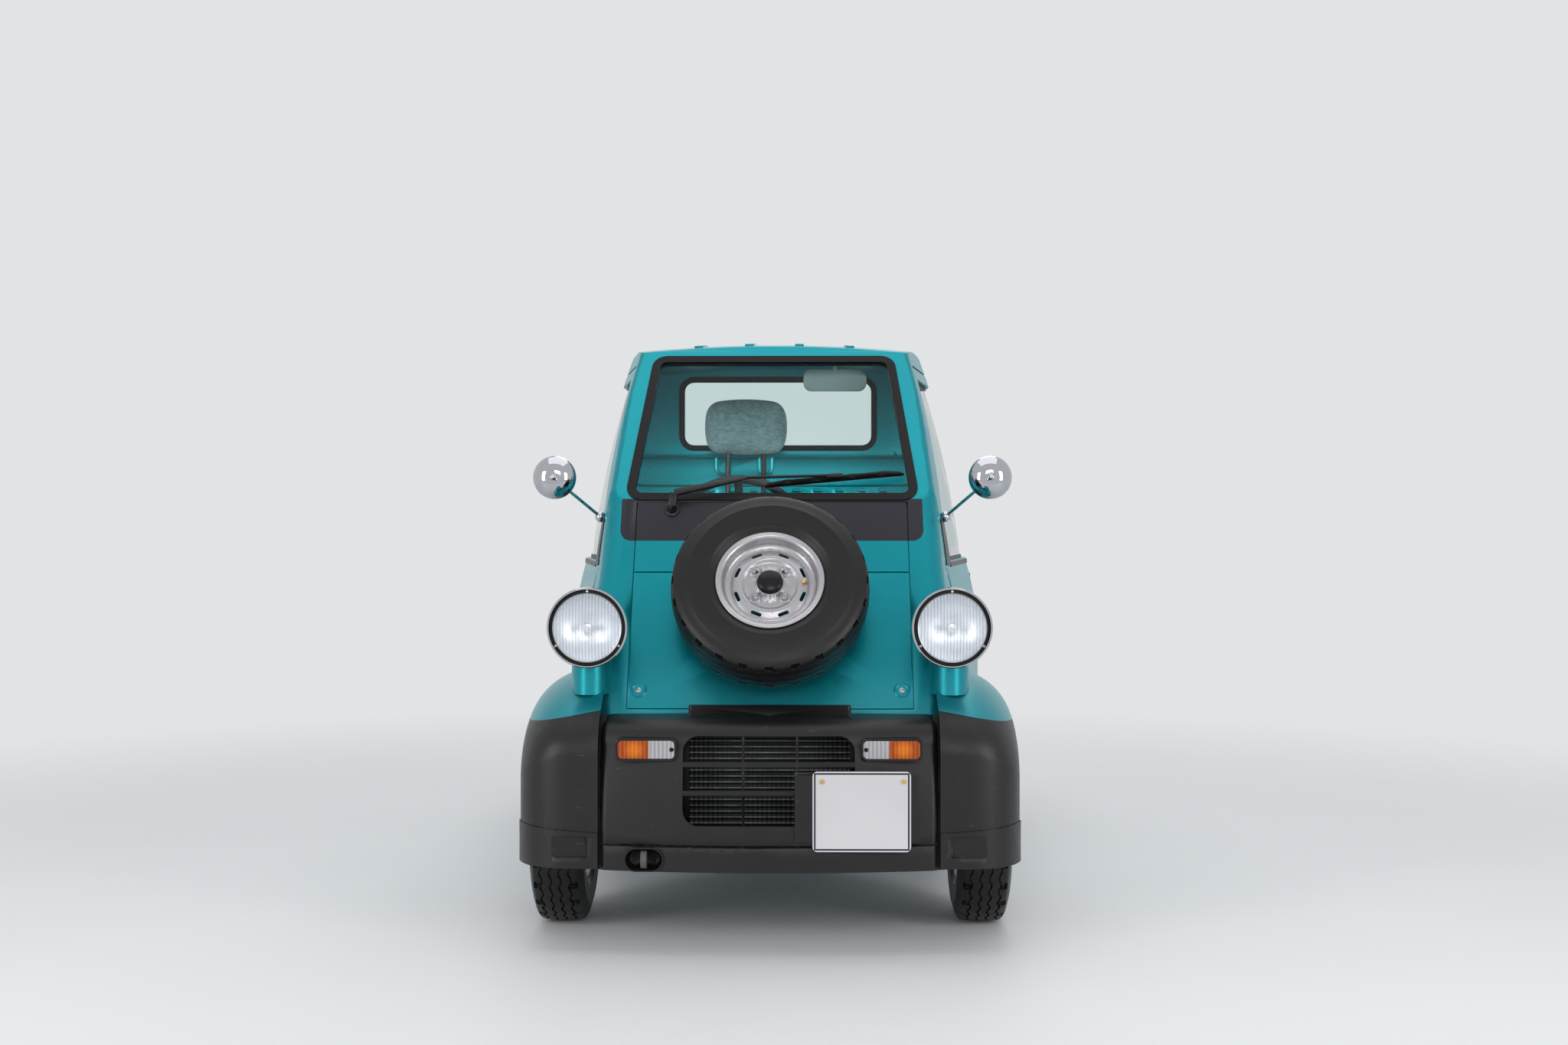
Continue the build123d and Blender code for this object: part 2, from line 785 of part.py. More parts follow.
with BuildPart() as lower_arm:
    with BuildSketch(Plane.XY.offset(ball_z - 34)):
        Polygon(
            (rail_x + 5, front_axle_y - 60),
            (rail_x + 5, front_axle_y + 120),
            (ball_x + 16, front_axle_y + 22),
            (ball_x + 16, front_axle_y - 22),
            align=None,
        )
    extrude(amount=16)
    add(slab(rail_inner_x, rail_outer_x, front_axle_y - 60, front_axle_y + 120, ball_z - 34, rail_low_front))
    with Locations((strut_x(ball_z - 6), front_axle_y, ball_z - 6)):
        Sphere(joint_radius + fit, mode=Mode.SUBTRACT)
with BuildPart() as front_suspension:
    add(lower_arm.part)
    mirror(lower_arm.part, about=Plane.YZ)
    add(slab(-rail_inner_x, rail_inner_x, front_axle_y - 40, front_axle_y + 40, ball_z + 30, rail_low_front - 20))
    for side in (-1, 1):
        with Locations((side * strut_x(strut_joint_z), front_axle_y, well_top_z - well_wall - 5)):
            Cylinder(44, 10)
        with Locations((side * strut_x(strut_joint_z), front_axle_y, strut_joint_z)):
            Sphere(joint_radius + fit, mode=Mode.SUBTRACT)
front_suspension.part.label = "front_suspension"
export_step(front_suspension.part, "parts/front_suspension.step")

drum_face_x = front_wheel_x + disc_offset - rim_wall - running
with BuildPart() as knuckle_blank:
    for z in (ball_z - 6, strut_joint_z):
        with Locations((strut_x(z), front_axle_y, z)):
            Sphere(joint_radius)
    strut_foot = (strut_x(ball_z + 4), front_axle_y, ball_z + 4)
    spring_foot = (strut_x(axle_z + 198), front_axle_y, axle_z + 198)
    spring_top = (strut_x(strut_joint_z - 12), front_axle_y, strut_joint_z - 12)
    add(rod(strut_foot, spring_foot, strut_radius))
    add(rod(spring_foot, spring_top, spring_radius))
    add(rod((strut_x(axle_z), front_axle_y, axle_z), (drum_face_x, front_axle_y, axle_z), 34))
    add(rod((drum_face_x - 46, front_axle_y, axle_z), (drum_face_x, front_axle_y, axle_z), drum_radius))
    add(rod((drum_face_x, front_axle_y, axle_z), (front_wheel_x + disc_offset + 4, front_axle_y, axle_z), spindle_radius))
    add(slab(ball_x - 130, ball_x - 10, front_axle_y + 80, front_axle_y + 100, ball_z + 20, ball_z + 36))
    add(slab(ball_x - 26, ball_x - 2, front_axle_y, front_axle_y + 100, ball_z + 14, ball_z + 40))
for side, name in ((1, "left"), (-1, "right")):
    with BuildPart() as knuckle:
        if side > 0:
            add(knuckle_blank.part)
        else:
            mirror(knuckle_blank.part, about=Plane.YZ)
    knuckle.part.label = f"knuckle_{name}"
    export_step(knuckle.part, f"parts/knuckle_{name}.step")

# Rear axle beam with its differential, drums and spindles, and the leaf springs it hangs on
rear_drum_face_x = rear_wheel_x + disc_offset - rim_wall - running
with BuildPart() as rear_axle:
    add(rod((-rear_drum_face_x, rear_axle_y, axle_z), (rear_drum_face_x, rear_axle_y, axle_z), 34))
    with Locations((0, rear_axle_y, axle_z)):
        Sphere(100)
    add(rod((0, 423, 300), (0, rear_axle_y - 70, axle_z + 10), 24))
    for side in (-1, 1):
        add(
            rod(
                (side * (rear_drum_face_x - 60), rear_axle_y, axle_z),
                (side * rear_drum_face_x, rear_axle_y, axle_z),
                drum_radius,
            )
        )
        add(
            rod(
                (side * rear_drum_face_x, rear_axle_y, axle_z),
                (side * (rear_wheel_x + disc_offset + 4), rear_axle_y, axle_z),
                spindle_radius,
            )
        )
        add(
            slab(
                side * (leaf_x - leaf_width / 2),
                side * (leaf_x + leaf_width / 2),
                rear_axle_y - 40,
                rear_axle_y + 40,
                axle_z + 20,
                axle_z + 42,
            )
        )
rear_axle.part.label = "rear_axle"
export_step(rear_axle.part, "parts/rear_axle.step")

leaf_low_z = axle_z + 42
leaf_thick = 16
with BuildPart() as leaf_spring:
    with BuildSketch(yz_plane(leaf_x - leaf_width / 2)):
        with BuildLine():
            front_eye = (leaf_front_y, leaf_eye_z)
            rear_eye = (leaf_rear_y, leaf_eye_z)
            ThreePointArc(front_eye, (rear_axle_y, leaf_low_z), rear_eye)
            Line(rear_eye, (rear_eye[0], leaf_eye_z + leaf_thick))
            ThreePointArc(
                (rear_eye[0], leaf_eye_z + leaf_thick),
                (rear_axle_y, leaf_low_z + leaf_thick),
                (front_eye[0], leaf_eye_z + leaf_thick),
            )
            Line((front_eye[0], leaf_eye_z + leaf_thick), front_eye)
        make_face()
    extrude(amount=leaf_width)
leaf_springs = pair_of(leaf_spring.part)
leaf_springs.label = "leaf_springs"
export_step(leaf_springs, "parts/leaf_springs.step")

# Wheels: one tyre and one rim, turned about their own axis and set at the four corners and the nose
with BuildPart() as tyre:
    with BuildSketch(Plane.XZ):
        with BuildLine():
            half = tyre_width / 2
            bore = bead_radius + fit
            lip = rim_flange_radius + 1
            Line((bore, -47), (bore, 47))
            Polyline((bore, 47), (bead_radius + 6, 52.5), (lip, 55.5))
            waist = (lip + tyre_radius - 10) / 2 - 6.5
            bulge = (lip + waist) / 2 - 4.5
            shoulder = tyre_radius - 10
            ThreePointArc((lip, 55.5), (bulge, half - 4.5), (waist, half))
            ThreePointArc((waist, half), (shoulder - 24, half - 4), (shoulder, half - 13))
            ThreePointArc((shoulder, half - 13), (tyre_radius, 0), (shoulder, 13 - half))
            ThreePointArc((shoulder, 13 - half), (shoulder - 24, 4 - half), (waist, -half))
            ThreePointArc((waist, -half), (bulge, 4.5 - half), (lip, -55.5))
            Polyline((lip, -55.5), (bead_radius + 6, -52.5), (bore, -47))
        make_face()
    revolve(axis=Axis.Z)

with BuildPart() as rim:
    with BuildSketch(Plane.XZ):
        with BuildLine():
            Polyline(
                (rim_flange_radius, 61),
                (rim_flange_radius, 57),
                (bead_radius + 6, 54),
                (bead_radius, 51),
                (bead_radius, 28),
                (108, 20),
                (108, -22),
                (bead_radius, -34),
                (bead_radius, -51),
                (bead_radius + 6, -54),
                (rim_flange_radius, -57),
                (rim_flange_radius, -61),
                (bead_radius, -57),
                (bead_radius - rim_wall, -51),
                (bead_radius - rim_wall, -36),
                (104, -26),
                (104, 6),
                (93, 24),
                (78, 30),
                (66, 22),
                (hub_bore_radius, 22),
                (hub_bore_radius, 26),
                (64, 26),
                (78, 35),
                (97, 29),
                (106, 24),
                (bead_radius - rim_wall, 31),
                (bead_radius - rim_wall, 51),
                (bead_radius, 57),
                close=True,
            )
        make_face()
    revolve(axis=Axis.Z)
    with BuildSketch(Plane.XY.offset(10)):
        with PolarLocations(stud_circle / 2, 4, start_angle=45):
            Circle(stud_hole / 2)
        with PolarLocations(92, 8, start_angle=22.5):
            SlotOverall(30, 9, rotation=90)
    extrude(amount=40, mode=Mode.SUBTRACT)
    with BuildSketch(Plane.XY.offset(26)):
        Circle(38)
        Circle(hub_bore_radius, mode=Mode.SUBTRACT)
    extrude(amount=14)
    with BuildSketch(Plane.XY.offset(36)):
        Circle(38)
    extrude(amount=6)
    fillet(rim.edges().filter_by(GeomType.CIRCLE).group_by(Axis.Z)[-1].sort_by(Edge.length)[-1:], 3)

wheel_places = (
    ("front_left", 1, front_wheel_x, front_axle_y),
    ("front_right", -1, front_wheel_x, front_axle_y),
    ("rear_left", 1, rear_wheel_x, rear_axle_y),
    ("rear_right", -1, rear_wheel_x, rear_axle_y),
)
wheel_planes = [
    (name, Plane(origin=(side * x, y, axle_z), x_dir=(0, 1, 0), z_dir=(side, 0, 0)))
    for name, side, x, y in wheel_places
]
wheel_planes.append(("spare", spare_plane))
for name, plane in wheel_planes:
    for piece, kind in ((tyre.part, "tyre"), (rim.part, "rim")):
        with BuildPart() as wheel_piece:
            add(piece.moved(plane.location))
        wheel_piece.part.label = f"{kind}_{name}"
        export_step(wheel_piece.part, f"parts/{kind}_{name}.step")

# Fenders and flares: sections of the outer skin from the bumper out to the side
flare_rear_z = axle_z + 40
fender_wall = 12
arch_radius = tyre_radius + 42
# Columns, all but x measured from the front axle: x, front y, rear y, top z, front shoulder z and
# rear shoulder z
fender_rows = (
    (431, -423, 327, 442, 240, 210),
    (520, -418, 325, 424, 230, 202),
    (590, -391, 307, 392, 210, 185),
    (632, -337, 269, 346, 180, 160),
    (647, -271, 223, 300, 160, 140),
)
fender_sections = [
    (x, front_axle_y + fy, front_axle_y + ry, axle_z + tz, axle_z + fz, axle_z + rz)
    for x, fy, ry, tz, fz, rz in fender_rows
]


def fender_loft(sections):
    """A dome over the wheel from side-view sections."""
    with BuildPart() as dome:
        for x, front_y, rear_y, top_z, front_z, rear_z in sections:
            with BuildSketch(yz_plane(x)):
                with BuildLine():
                    Line((front_y, 100), (front_y, front_z))
                    EllipticalCenterArc(
                        (front_axle_y, front_z), front_axle_y - front_y, top_z - front_z, 90, arc_size=90
                    )
                    EllipticalCenterArc(
                        (front_axle_y, rear_z), rear_y - front_axle_y, top_z - rear_z, 0, arc_size=90
                    )
                    Line((rear_y, rear_z), (rear_y, 100))
                    Line((rear_y, 100), (front_y, 100))
                make_face()
        loft()
    return dome.part


fender_inner_sections = [
    (x - (1 if i == 0 else fender_wall), fy + fender_wall, ry - fender_wall, tz - fender_wall, fz, rz)
    for i, (x, fy, ry, tz, fz, rz) in enumerate(fender_sections)
]
paint_edge = Plane(origin=(647, 0, axle_z + 306), x_dir=(0, 1, 0), z_dir=(0.19, 0, 1))
fender_outer = fender_loft(fender_sections)
with BuildPart() as fender_shell:
    add(fender_outer)
    add(fender_loft(fender_inner_sections), mode=Mode.SUBTRACT)
    add(slab(400, 700, -1400, front_axle_y + 120, 90, flare_foot_z), mode=Mode.SUBTRACT)
    add(slab(400, 700, front_axle_y, -590, 90, flare_rear_z), mode=Mode.SUBTRACT)
    with BuildSketch(yz_plane(560)):
        with Locations((front_axle_y, axle_z)):
            Circle(arch_radius)
    extrude(amount=120, mode=Mode.SUBTRACT)
    add(cab_outer, mode=Mode.SUBTRACT)
fender_top = split(fender_shell.part, bisect_by=paint_edge, keep=Keep.TOP)
step_out = 5
step_edge = Plane(origin=(431, 0, axle_z + 44), x_dir=(0, 1, 0), z_dir=(-0.07, 0, 1))
step_sections = [(x + (step_out if x > 640 else 0), fy - step_out, ry, tz, fz, rz) for x, fy, ry, tz, fz, rz in fender_sections]
with BuildPart() as fender_step:
    add(split(fender_loft(step_sections), bisect_by=step_edge, keep=Keep.BOTTOM))
    add(slab(400, 700, -1500, front_axle_y - 120, flare_foot_z, 400), mode=Mode.INTERSECT)
    with BuildSketch(xz_plane(fender_sections[0][1] - step_out)):
        with Locations((532, axle_z + 9)):
            RectangleRounded(152, 56, 10)
    extrude(amount=-11, mode=Mode.SUBTRACT, taper=12)
    add(fender_loft(fender_inner_sections), mode=Mode.SUBTRACT)
    with BuildSketch(yz_plane(500)):
        with Locations((front_axle_y, axle_z)):
            Circle(arch_radius)
    extrude(amount=200, mode=Mode.SUBTRACT)
with BuildPart() as flare_front:
    add(split(fender_shell.part, bisect_by=paint_edge, keep=Keep.BOTTOM))
    add(slab(446, 618, -1500, front_axle_y - 380, flare_foot_z + 18, axle_z + 44), mode=Mode.SUBTRACT)
    add(fender_step.part)
front_fenders = pair_of(fender_top)
front_fenders.label = "front_fenders"
export_step(front_fenders, "parts/front_fenders.step")

rear_arch_outer = arch_radius + 48
with BuildPart() as flare_rear:
    with BuildSketch(yz_plane(bed_half)):
        with Locations((rear_axle_y, axle_z)):
            Circle(rear_arch_outer)
            Circle(arch_radius, mode=Mode.SUBTRACT)
    extrude(amount=43)
    add(slab(bed_half - 20, 660, rear_axle_y - 400, rear_axle_y + 400, -100, flare_rear_z - 20), mode=Mode.SUBTRACT)
    fillet(flare_rear.faces().sort_by(Axis.X)[-1].edges().filter_by(GeomType.CIRCLE).sort_by(Edge.length)[-1:], 24)
with BuildPart() as wheel_arch_flares:
    for flare in (flare_front.part, flare_rear.part):
        add(flare)
        mirror(flare, about=Plane.YZ)
wheel_arch_flares.part.label = "wheel_arch_flares"
export_step(wheel_arch_flares.part, "parts/wheel_arch_flares.step")

# The bumper's face has rounded ends, and a groove that sets the valance off below it
bumper_end_radius = 24
groove_z = 276
with BuildPart() as bumper_block:
    add(bumper_body(0, 0))
    add(slab(-bumper_half, bumper_half, -1500, bumper_back_y, 100, 700), mode=Mode.INTERSECT)
    ends = bumper_block.faces().filter_by(Axis.X).sort_by(Axis.X)
    fronts = [edge for end in (ends[0], ends[-1]) for edge in end.edges() if edge.center().Y < front_end_y + 100]
    fillet([edge for edge in fronts if abs(edge.tangent_at(0.5).Z) > 0.5], bumper_end_radius)
with BuildPart() as bumper_groove:
    with BuildSketch(Plane.YZ):
        with Locations((front_end_y + 2, groove_z)):
            Rectangle(18, 7)
    revolve(axis=bumper_axis, revolution_arc=14)
    mirror(about=Plane.YZ)
with BuildPart() as front_bumper:
    add(bumper_block.part)
    add(bumper_cavity, mode=Mode.SUBTRACT)
    add(bumper_groove.part, mode=Mode.SUBTRACT)
    with BuildSketch(Plane.XY.offset(nose_foot_z - 14)):
        with Locations((0, bumper_back_y - 11)):
            RectangleRounded(418, 34, 8)
    extrude(amount=27)
    with BuildSketch(xz_plane(-1300)):
        with Locations((0, (grille_low_z + grille_high_z) / 2)):
            RectangleRounded(2 * grille_half, grille_high_z - grille_low_z, grille_corner)
        with Locations((-signal_x, signal_z), (signal_x, signal_z)):
            RectangleRounded(signal_width + 2 * fit, signal_height + 2 * fit, 14)
        with Locations((tow_x, tow_z)):
            SlotOverall(93, 54)
    extrude(amount=120, mode=Mode.SUBTRACT)
front_bumper.part.label = "front_bumper"
export_step(front_bumper.part, "parts/front_bumper.step")

# Grille bars in the opening, with the panel that the plate is screwed to
grille_y = -1362
plate_x = 232
plate_z = 366
plate_width = 245
plate_height = 200
with BuildPart() as grille:
    for z in (408, 480):
        add(slab(-grille_half, grille_half, grille_y - 10, grille_y + 10, z - 6, z + 6))
    for x in (-64, 71):
        add(slab(x - 3, x + 3, grille_y - 6, grille_y + 6, grille_low_z, grille_high_z))
    add(slab(65, grille_half, grille_y - 8, grille_y + 8, grille_low_z, 460))
    with BuildSketch(xz_plane(-1300)):
        with Locations((0, (grille_low_z + grille_high_z) / 2)):
            RectangleRounded(2 * grille_half, grille_high_z - grille_low_z, grille_corner)
    extrude(amount=120, mode=Mode.INTERSECT)
    add(slab(80, 200, -1394, grille_y, 345, 450))
    add(slab(65, 372, -1396, -1393, 291, 456))
grille.part.label = "grille"
export_step(grille.part, "parts/grille.step")

with BuildPart() as front_plate:
    with BuildSketch(xz_plane(-1396)):
        with Locations((plate_x, plate_z)):
            RectangleRounded(plate_width, plate_height, 12)
    extrude(amount=2)
front_plate.part.label = "front_plate"
export_step(front_plate.part, "parts/front_plate.step")

with BuildPart() as radiator:
    add(slab(-205, 205, frame_front_y - 44, frame_front_y, 300, 560))
radiator.part.label = "radiator"
export_step(radiator.part, "parts/radiator.step")

# Turn signals, headlamps and the tow hook
with BuildPart() as turn_signal:
    with BuildSketch(xz_plane(-1325)):
        with Locations((signal_x, signal_z)):
            RectangleRounded(signal_width, signal_height, 14)
    extrude(amount=40)
turn_signals = pair_of(turn_signal.part)
turn_signals.label = "turn_signals"
export_step(turn_signals, "parts/turn_signals.step")

lamp_x = 468
lamp_z = 816
lamp_front_y = -1266
ring_radius = 104
lens_radius = 87
lamp_axis = Axis((lamp_x, lamp_front_y, lamp_z), (0, 1, 0))


def lamp_turned(points):
    """A closed outline (y, radius) turned about the lamp's axis."""
    with BuildPart() as turned:
        with BuildSketch(yz_plane(lamp_x)):
            with BuildLine():
                Polyline(*[(y, lamp_z + r) for y, r in points], close=True)
            make_face()
        revolve(axis=lamp_axis)
    return turned.part


with BuildPart() as headlight_shell:
    add(
        lamp_turned(
            (
                (lamp_front_y + 12, 0),
                (lamp_front_y + 12, 98),
                (lamp_front_y + 90, 92),
                (lamp_front_y + 150, 76),
                (lamp_front_y + 196, 44),
                (lamp_front_y + 214, 0),
            )
        )
    )
    with BuildSketch(Plane.XY.offset(640)):
        with Locations((lamp_x, lamp_front_y + 110)):
            Ellipse(52, 72)
    extrude(amount=lamp_z - 640)
    add(cab_outer, mode=Mode.SUBTRACT)
    add(fender_outer, mode=Mode.SUBTRACT)
headlight_shells = pair_of(headlight_shell.part)
headlight_shells.label = "headlight_shells"
export_step(headlight_shells, "parts/headlight_shells.step")

headlight_ring = lamp_turned(
    (
        (lamp_front_y + 12, lens_radius),
        (lamp_front_y, lens_radius),
        (lamp_front_y - 3, lens_radius + 4),
        (lamp_front_y - 2, ring_radius - 4),
        (lamp_front_y + 6, ring_radius),
        (lamp_front_y + 26, ring_radius),
        (lamp_front_y + 26, 99),
        (lamp_front_y + 12, 99),
    )
)
headlight_rings = pair_of(headlight_ring)
headlight_rings.label = "headlight_rings"
export_step(headlight_rings, "parts/headlight_rings.step")

headlight_lens = lamp_turned(
    (
        (lamp_front_y - 12, 0),
        (lamp_front_y - 9, 46),
        (lamp_front_y + 2, lens_radius),
        (lamp_front_y + 12, lens_radius),
        (lamp_front_y + 12, 0),
    )
)
headlight_lenses = pair_of(headlight_lens)
headlight_lenses.label = "headlight_lenses"
export_step(headlight_lenses, "parts/headlight_lenses.step")

with BuildPart() as tow_hook:
    with BuildSketch(yz_plane(tow_x - 7)):
        with Locations((-1372, tow_z)):
            Circle(22)
            Circle(11, mode=Mode.SUBTRACT)
    extrude(amount=14)
    add(slab(tow_x - 7, tow_x + 7, -1352, frame_front_y, tow_z - 8, tow_z + 8))
    add(slab(tow_x - 7, tow_x + 7, frame_front_y - 30, frame_front_y, tow_z - 8, rail_low_front))
tow_hook.part.label = "tow_hook"
export_step(tow_hook.part, "parts/tow_hook.step")

# Wiper: pivot on the upper nose panel, arm and blade over the glass
pivot_x = -276
pivot_z = 1121
pivot_y = nose_foot_y + (pivot_z - nose_foot_z) * nose_run / nose_rise
blade_z = 1186
with BuildPart() as wiper:
    pivot_base = Vector(pivot_x, pivot_y, pivot_z)
    pivot_top = pivot_base + nose_plane.z_dir * 26
    add(rod(tuple(pivot_base), tuple(pivot_top), 14))
    arm_end = (140, screen_y(blade_z) - 22, blade_z)
    add(rod(tuple(pivot_top - nose_plane.z_dir * 8), arm_end, 6))
    add(rod((-60, screen_y(blade_z - 12) - 14, blade_z - 12), (368, screen_y(blade_z + 14) - 14, blade_z + 14), 6))
wiper.part.label = "wiper"
export_step(wiper.part, "parts/wiper.step")

# Inside: dashboard with its column, steering wheel, seat, mirror, pedals and levers
driver_x = -100
steering_radius = 175
steering_centre = (driver_x, -570, 1075)
steering_lean = 50
column_dir = Vector(0, -sin(radians(steering_lean)), -cos(radians(steering_lean)))
steering_plane = Plane(origin=steering_centre, x_dir=(1, 0, 0), z_dir=-column_dir)
dash_half = 400
dash_points = (
    (-1050, 900),
    (-760, 900),
    (-716, 960),
    (-742, 1070),
    (-800, 1108),
    (-1050, 1108),
)
with BuildPart() as dashboard:
    with BuildSketch(yz_plane(-dash_half)) as dash_side:
        with BuildLine():
            Polyline(*dash_points, close=True)
        make_face()
        fillet(dash_side.vertices().group_by(Axis.Y)[-1], 30)
    extrude(amount=2 * dash_half)
    add(cab_inner, mode=Mode.INTERSECT)
    column_top = Vector(*steering_centre) + column_dir * (24 + fit)
    column_foot = Vector(*steering_centre) + column_dir * 330
    add(rod(tuple(column_top), tuple(column_foot), 30))
dashboard.part.label = "dashboard"
export_step(dashboard.part, "parts/dashboard.step")

with BuildPart() as steering_wheel:
    with BuildSketch(Plane(origin=steering_centre, x_dir=steering_plane.z_dir, z_dir=steering_plane.x_dir)):
        with Locations((0, steering_radius)):
            Circle(12)
    revolve(axis=Axis(steering_centre, tuple(steering_plane.z_dir)))
    with BuildSketch(steering_plane.offset(-24)):
        Circle(46)
    extrude(amount=36)
    for angle in (90, 215, 325):
        with BuildSketch(steering_plane.offset(-8)):
            with Locations(
                ((steering_radius / 2) * cos(radians(angle + 180)), (steering_radius / 2) * sin(radians(angle + 180)))
            ):
                Rectangle(steering_radius - 6, 24, rotation=angle)
        extrude(amount=10)
steering_wheel.part.label = "steering_wheel"
export_step(steering_wheel.part, "parts/steering_wheel.step")

seat_half = 215
seat_back_foot = (36, 800)
seat_back_top = (118, 1150)
seat_back_thick = 96
with BuildPart() as seat_cushion:
    with Locations((driver_x, -170, deck_z + 56)):
        Box(2 * seat_half, 400, 111)
    fillet(seat_cushion.edges(), 24)
with BuildPart() as seat_back:
    lean = Vector(0, seat_back_top[0] - seat_back_foot[0], seat_back_top[1] - seat_back_foot[1])
    with BuildSketch(Plane(origin=(driver_x, seat_back_foot[0] + 36, seat_back_foot[1] - 128), x_dir=(1, 0, 0), z_dir=lean)):
        Rectangle(2 * seat_half - 20, seat_back_thick)
    extrude(amount=lean.length + 124)
    fillet(seat_back.edges(), 26)
    add(slab(-700, 700, -200, 400, 0, deck_z + fit), mode=Mode.SUBTRACT)
    add(seat_cushion.part, mode=Mode.SUBTRACT)
with BuildPart() as seat_cushions:
    add(seat_cushion.part)
    add(seat_back.part)
seat_cushions.part.label = "seat_cushions"
export_step(seat_cushions.part, "parts/seat_cushions.step")

headrest_low_z = 1312
headrest_high_z = 1496
headrest_y = 190
with BuildPart() as headrest:
    with BuildSketch(xz_plane(headrest_y + 42)):
        with Locations((driver_x - 6, (headrest_low_z + headrest_high_z) / 2)):
            RectangleRounded(277, headrest_high_z - headrest_low_z, 50)
    extrude(amount=84)
    fillet(headrest.edges().filter_by(Axis.Y, reverse=True), 22)
    for x in (driver_x - 66, driver_x + 54):
        add(rod((x, headrest_y - 4, headrest_low_z + 6), (x, seat_back_top[0] + 58, seat_back_top[1] - 60), 8))
    add(seat_cushions.part, mode=Mode.SUBTRACT)
headrest.part.label = "headrest"
export_step(headrest.part, "parts/headrest.step")

with BuildPart() as interior_mirror:
    with BuildSketch(xz_plane(-462)):
        with Locations((181, screen_top_z - 65)):
            RectangleRounded(188, 64, 24)
    extrude(amount=18)
    add(rod((181, -470, screen_top_z - 65), (181, -490, screen_top_z + 65), 8) & cab_inner)
interior_mirror.part.label = "interior_mirror"
export_step(interior_mirror.part, "parts/interior_mirror.step")

with BuildPart() as cab_controls:
    for x, foot_y, foot_z in ((driver_x - 95, -1060, 560), (driver_x, -1060, 560), (driver_x + 95, -1050, 540)):
        add(rod((x, foot_y, foot_z), (x, -930, 906), 7))
        with Locations((x, foot_y, foot_z)):
            Box(50, 14, 70)
    add(rod((90, -480, floor_z + floor_thick), (90, -520, 800), 8))
    with Locations((90, -520, 806)):
        Sphere(20)
    add(rod((200, -330, deck_z - 4), (200, -400, deck_z + 90), 10))
    add(cab_floor.part, mode=Mode.SUBTRACT)
    add(dashboard.part, mode=Mode.SUBTRACT)
cab_controls.part.label = "cab_controls"
export_step(cab_controls.part, "parts/cab_controls.step")

# Load bed: floor on cross sills, welded walls, drop tailgate on hinge barrels
gate_hinge_y = rear_end_y - 12
gate_hinge_z = bed_floor_z - 8
barrel_radius = 9
with BuildPart() as bed_floor:
    add(slab(bed_wall - bed_half, bed_half - bed_wall, bed_front_y + bed_wall, bed_rear_y, bed_floor_z - bed_floor_thick, bed_floor_z))
    for y in (bed_front_y + 85, rear_axle_y - 71, bed_rear_y - 36):
        add(slab(-540, 540, y - 25, y + 25, rail_low_rear + rail_height, bed_floor_z - bed_floor_thick))
    with BuildSketch(Plane.XY.offset(bed_floor_z)):
        with GridLocations(110, 1, 10, 1):
            with Locations((0, (bed_front_y + bed_wall + bed_rear_y) / 2)):
                Rectangle(44, bed_rear_y - bed_front_y - bed_wall - 80)
    extrude(amount=-8, mode=Mode.SUBTRACT)
    for x in (-485, -415, 415, 485):
        add(slab(x - 14, x + 14, bed_rear_y, gate_hinge_y, gate_hinge_z - 9, gate_hinge_z))
        add(rod((x - 14, gate_hinge_y, gate_hinge_z), (x + 14, gate_hinge_y, gate_hinge_z), barrel_radius))
bed_floor.part.label = "bed_floor"
export_step(bed_floor.part, "parts/bed_floor.step")

with BuildPart() as bed_walls:
    add(slab(-bed_half, bed_half, bed_front_y, rear_end_y - 5, bed_foot_z, bed_top_z))
    add(slab(-bed_half - 12, bed_half + 12, bed_front_y, rear_end_y - 5, bed_top_z - 22, bed_top_z))
    fillet(bed_walls.faces().sort_by(Axis.Z)[-1].edges(), 6)
    add(slab(bed_wall - bed_half, bed_half - bed_wall, bed_front_y + bed_wall, rear_end_y, bed_foot_z - 10, bed_top_z + 1), mode=Mode.SUBTRACT)
    for y in (bed_front_y + 150, rear_axle_y - 200, rear_axle_y + 240):
        for side in (-1, 1):
            hook_x = side * (bed_half + 14)
            add(rod((side * (bed_half - 4), y, bed_top_z - 60), (hook_x, y, bed_top_z - 60), 4))
            add(rod((hook_x, y - 30, bed_top_z - 60), (hook_x, y + 30, bed_top_z - 60), 5))
    for z in (bed_floor_z + 60, bed_floor_z + 130):
        for side in (-1, 1):
            with Locations((side * bed_half, (bed_front_y + rear_end_y) / 2, z)):
                Box(12, rear_end_y - bed_front_y - 160, 26, mode=Mode.SUBTRACT)
bed_walls.part.label = "bed_walls"
export_step(bed_walls.part, "parts/bed_walls.step")

gate_half = bed_half - bed_wall - running
gate_y = bed_rear_y + running
with BuildPart() as tailgate:
    add(slab(-gate_half, gate_half, gate_y, gate_y + gate_thick, bed_floor_z, bed_top_z - 4))
    for z in (bed_floor_z + 72, bed_floor_z + 150):
        with Locations((0, gate_y + gate_thick, z)):
            Box(2 * gate_half - 160, 12, 26, mode=Mode.SUBTRACT)
    for x in (-485, -415, 415, 485):
        add(rod((x - 18, gate_hinge_y, gate_hinge_z), (x + 18, gate_hinge_y, gate_hinge_z), barrel_radius + 6), mode=Mode.SUBTRACT)
    for x in (-450, 450):
        add(rod((x - 20.7, gate_hinge_y, gate_hinge_z), (x + 20.7, gate_hinge_y, gate_hinge_z), barrel_radius))
        add(slab(x - 16, x + 16, gate_hinge_y - 12, gate_hinge_y, gate_hinge_z, bed_floor_z + 6))
tailgate.part.label = "tailgate"
export_step(tailgate.part, "parts/tailgate.step")

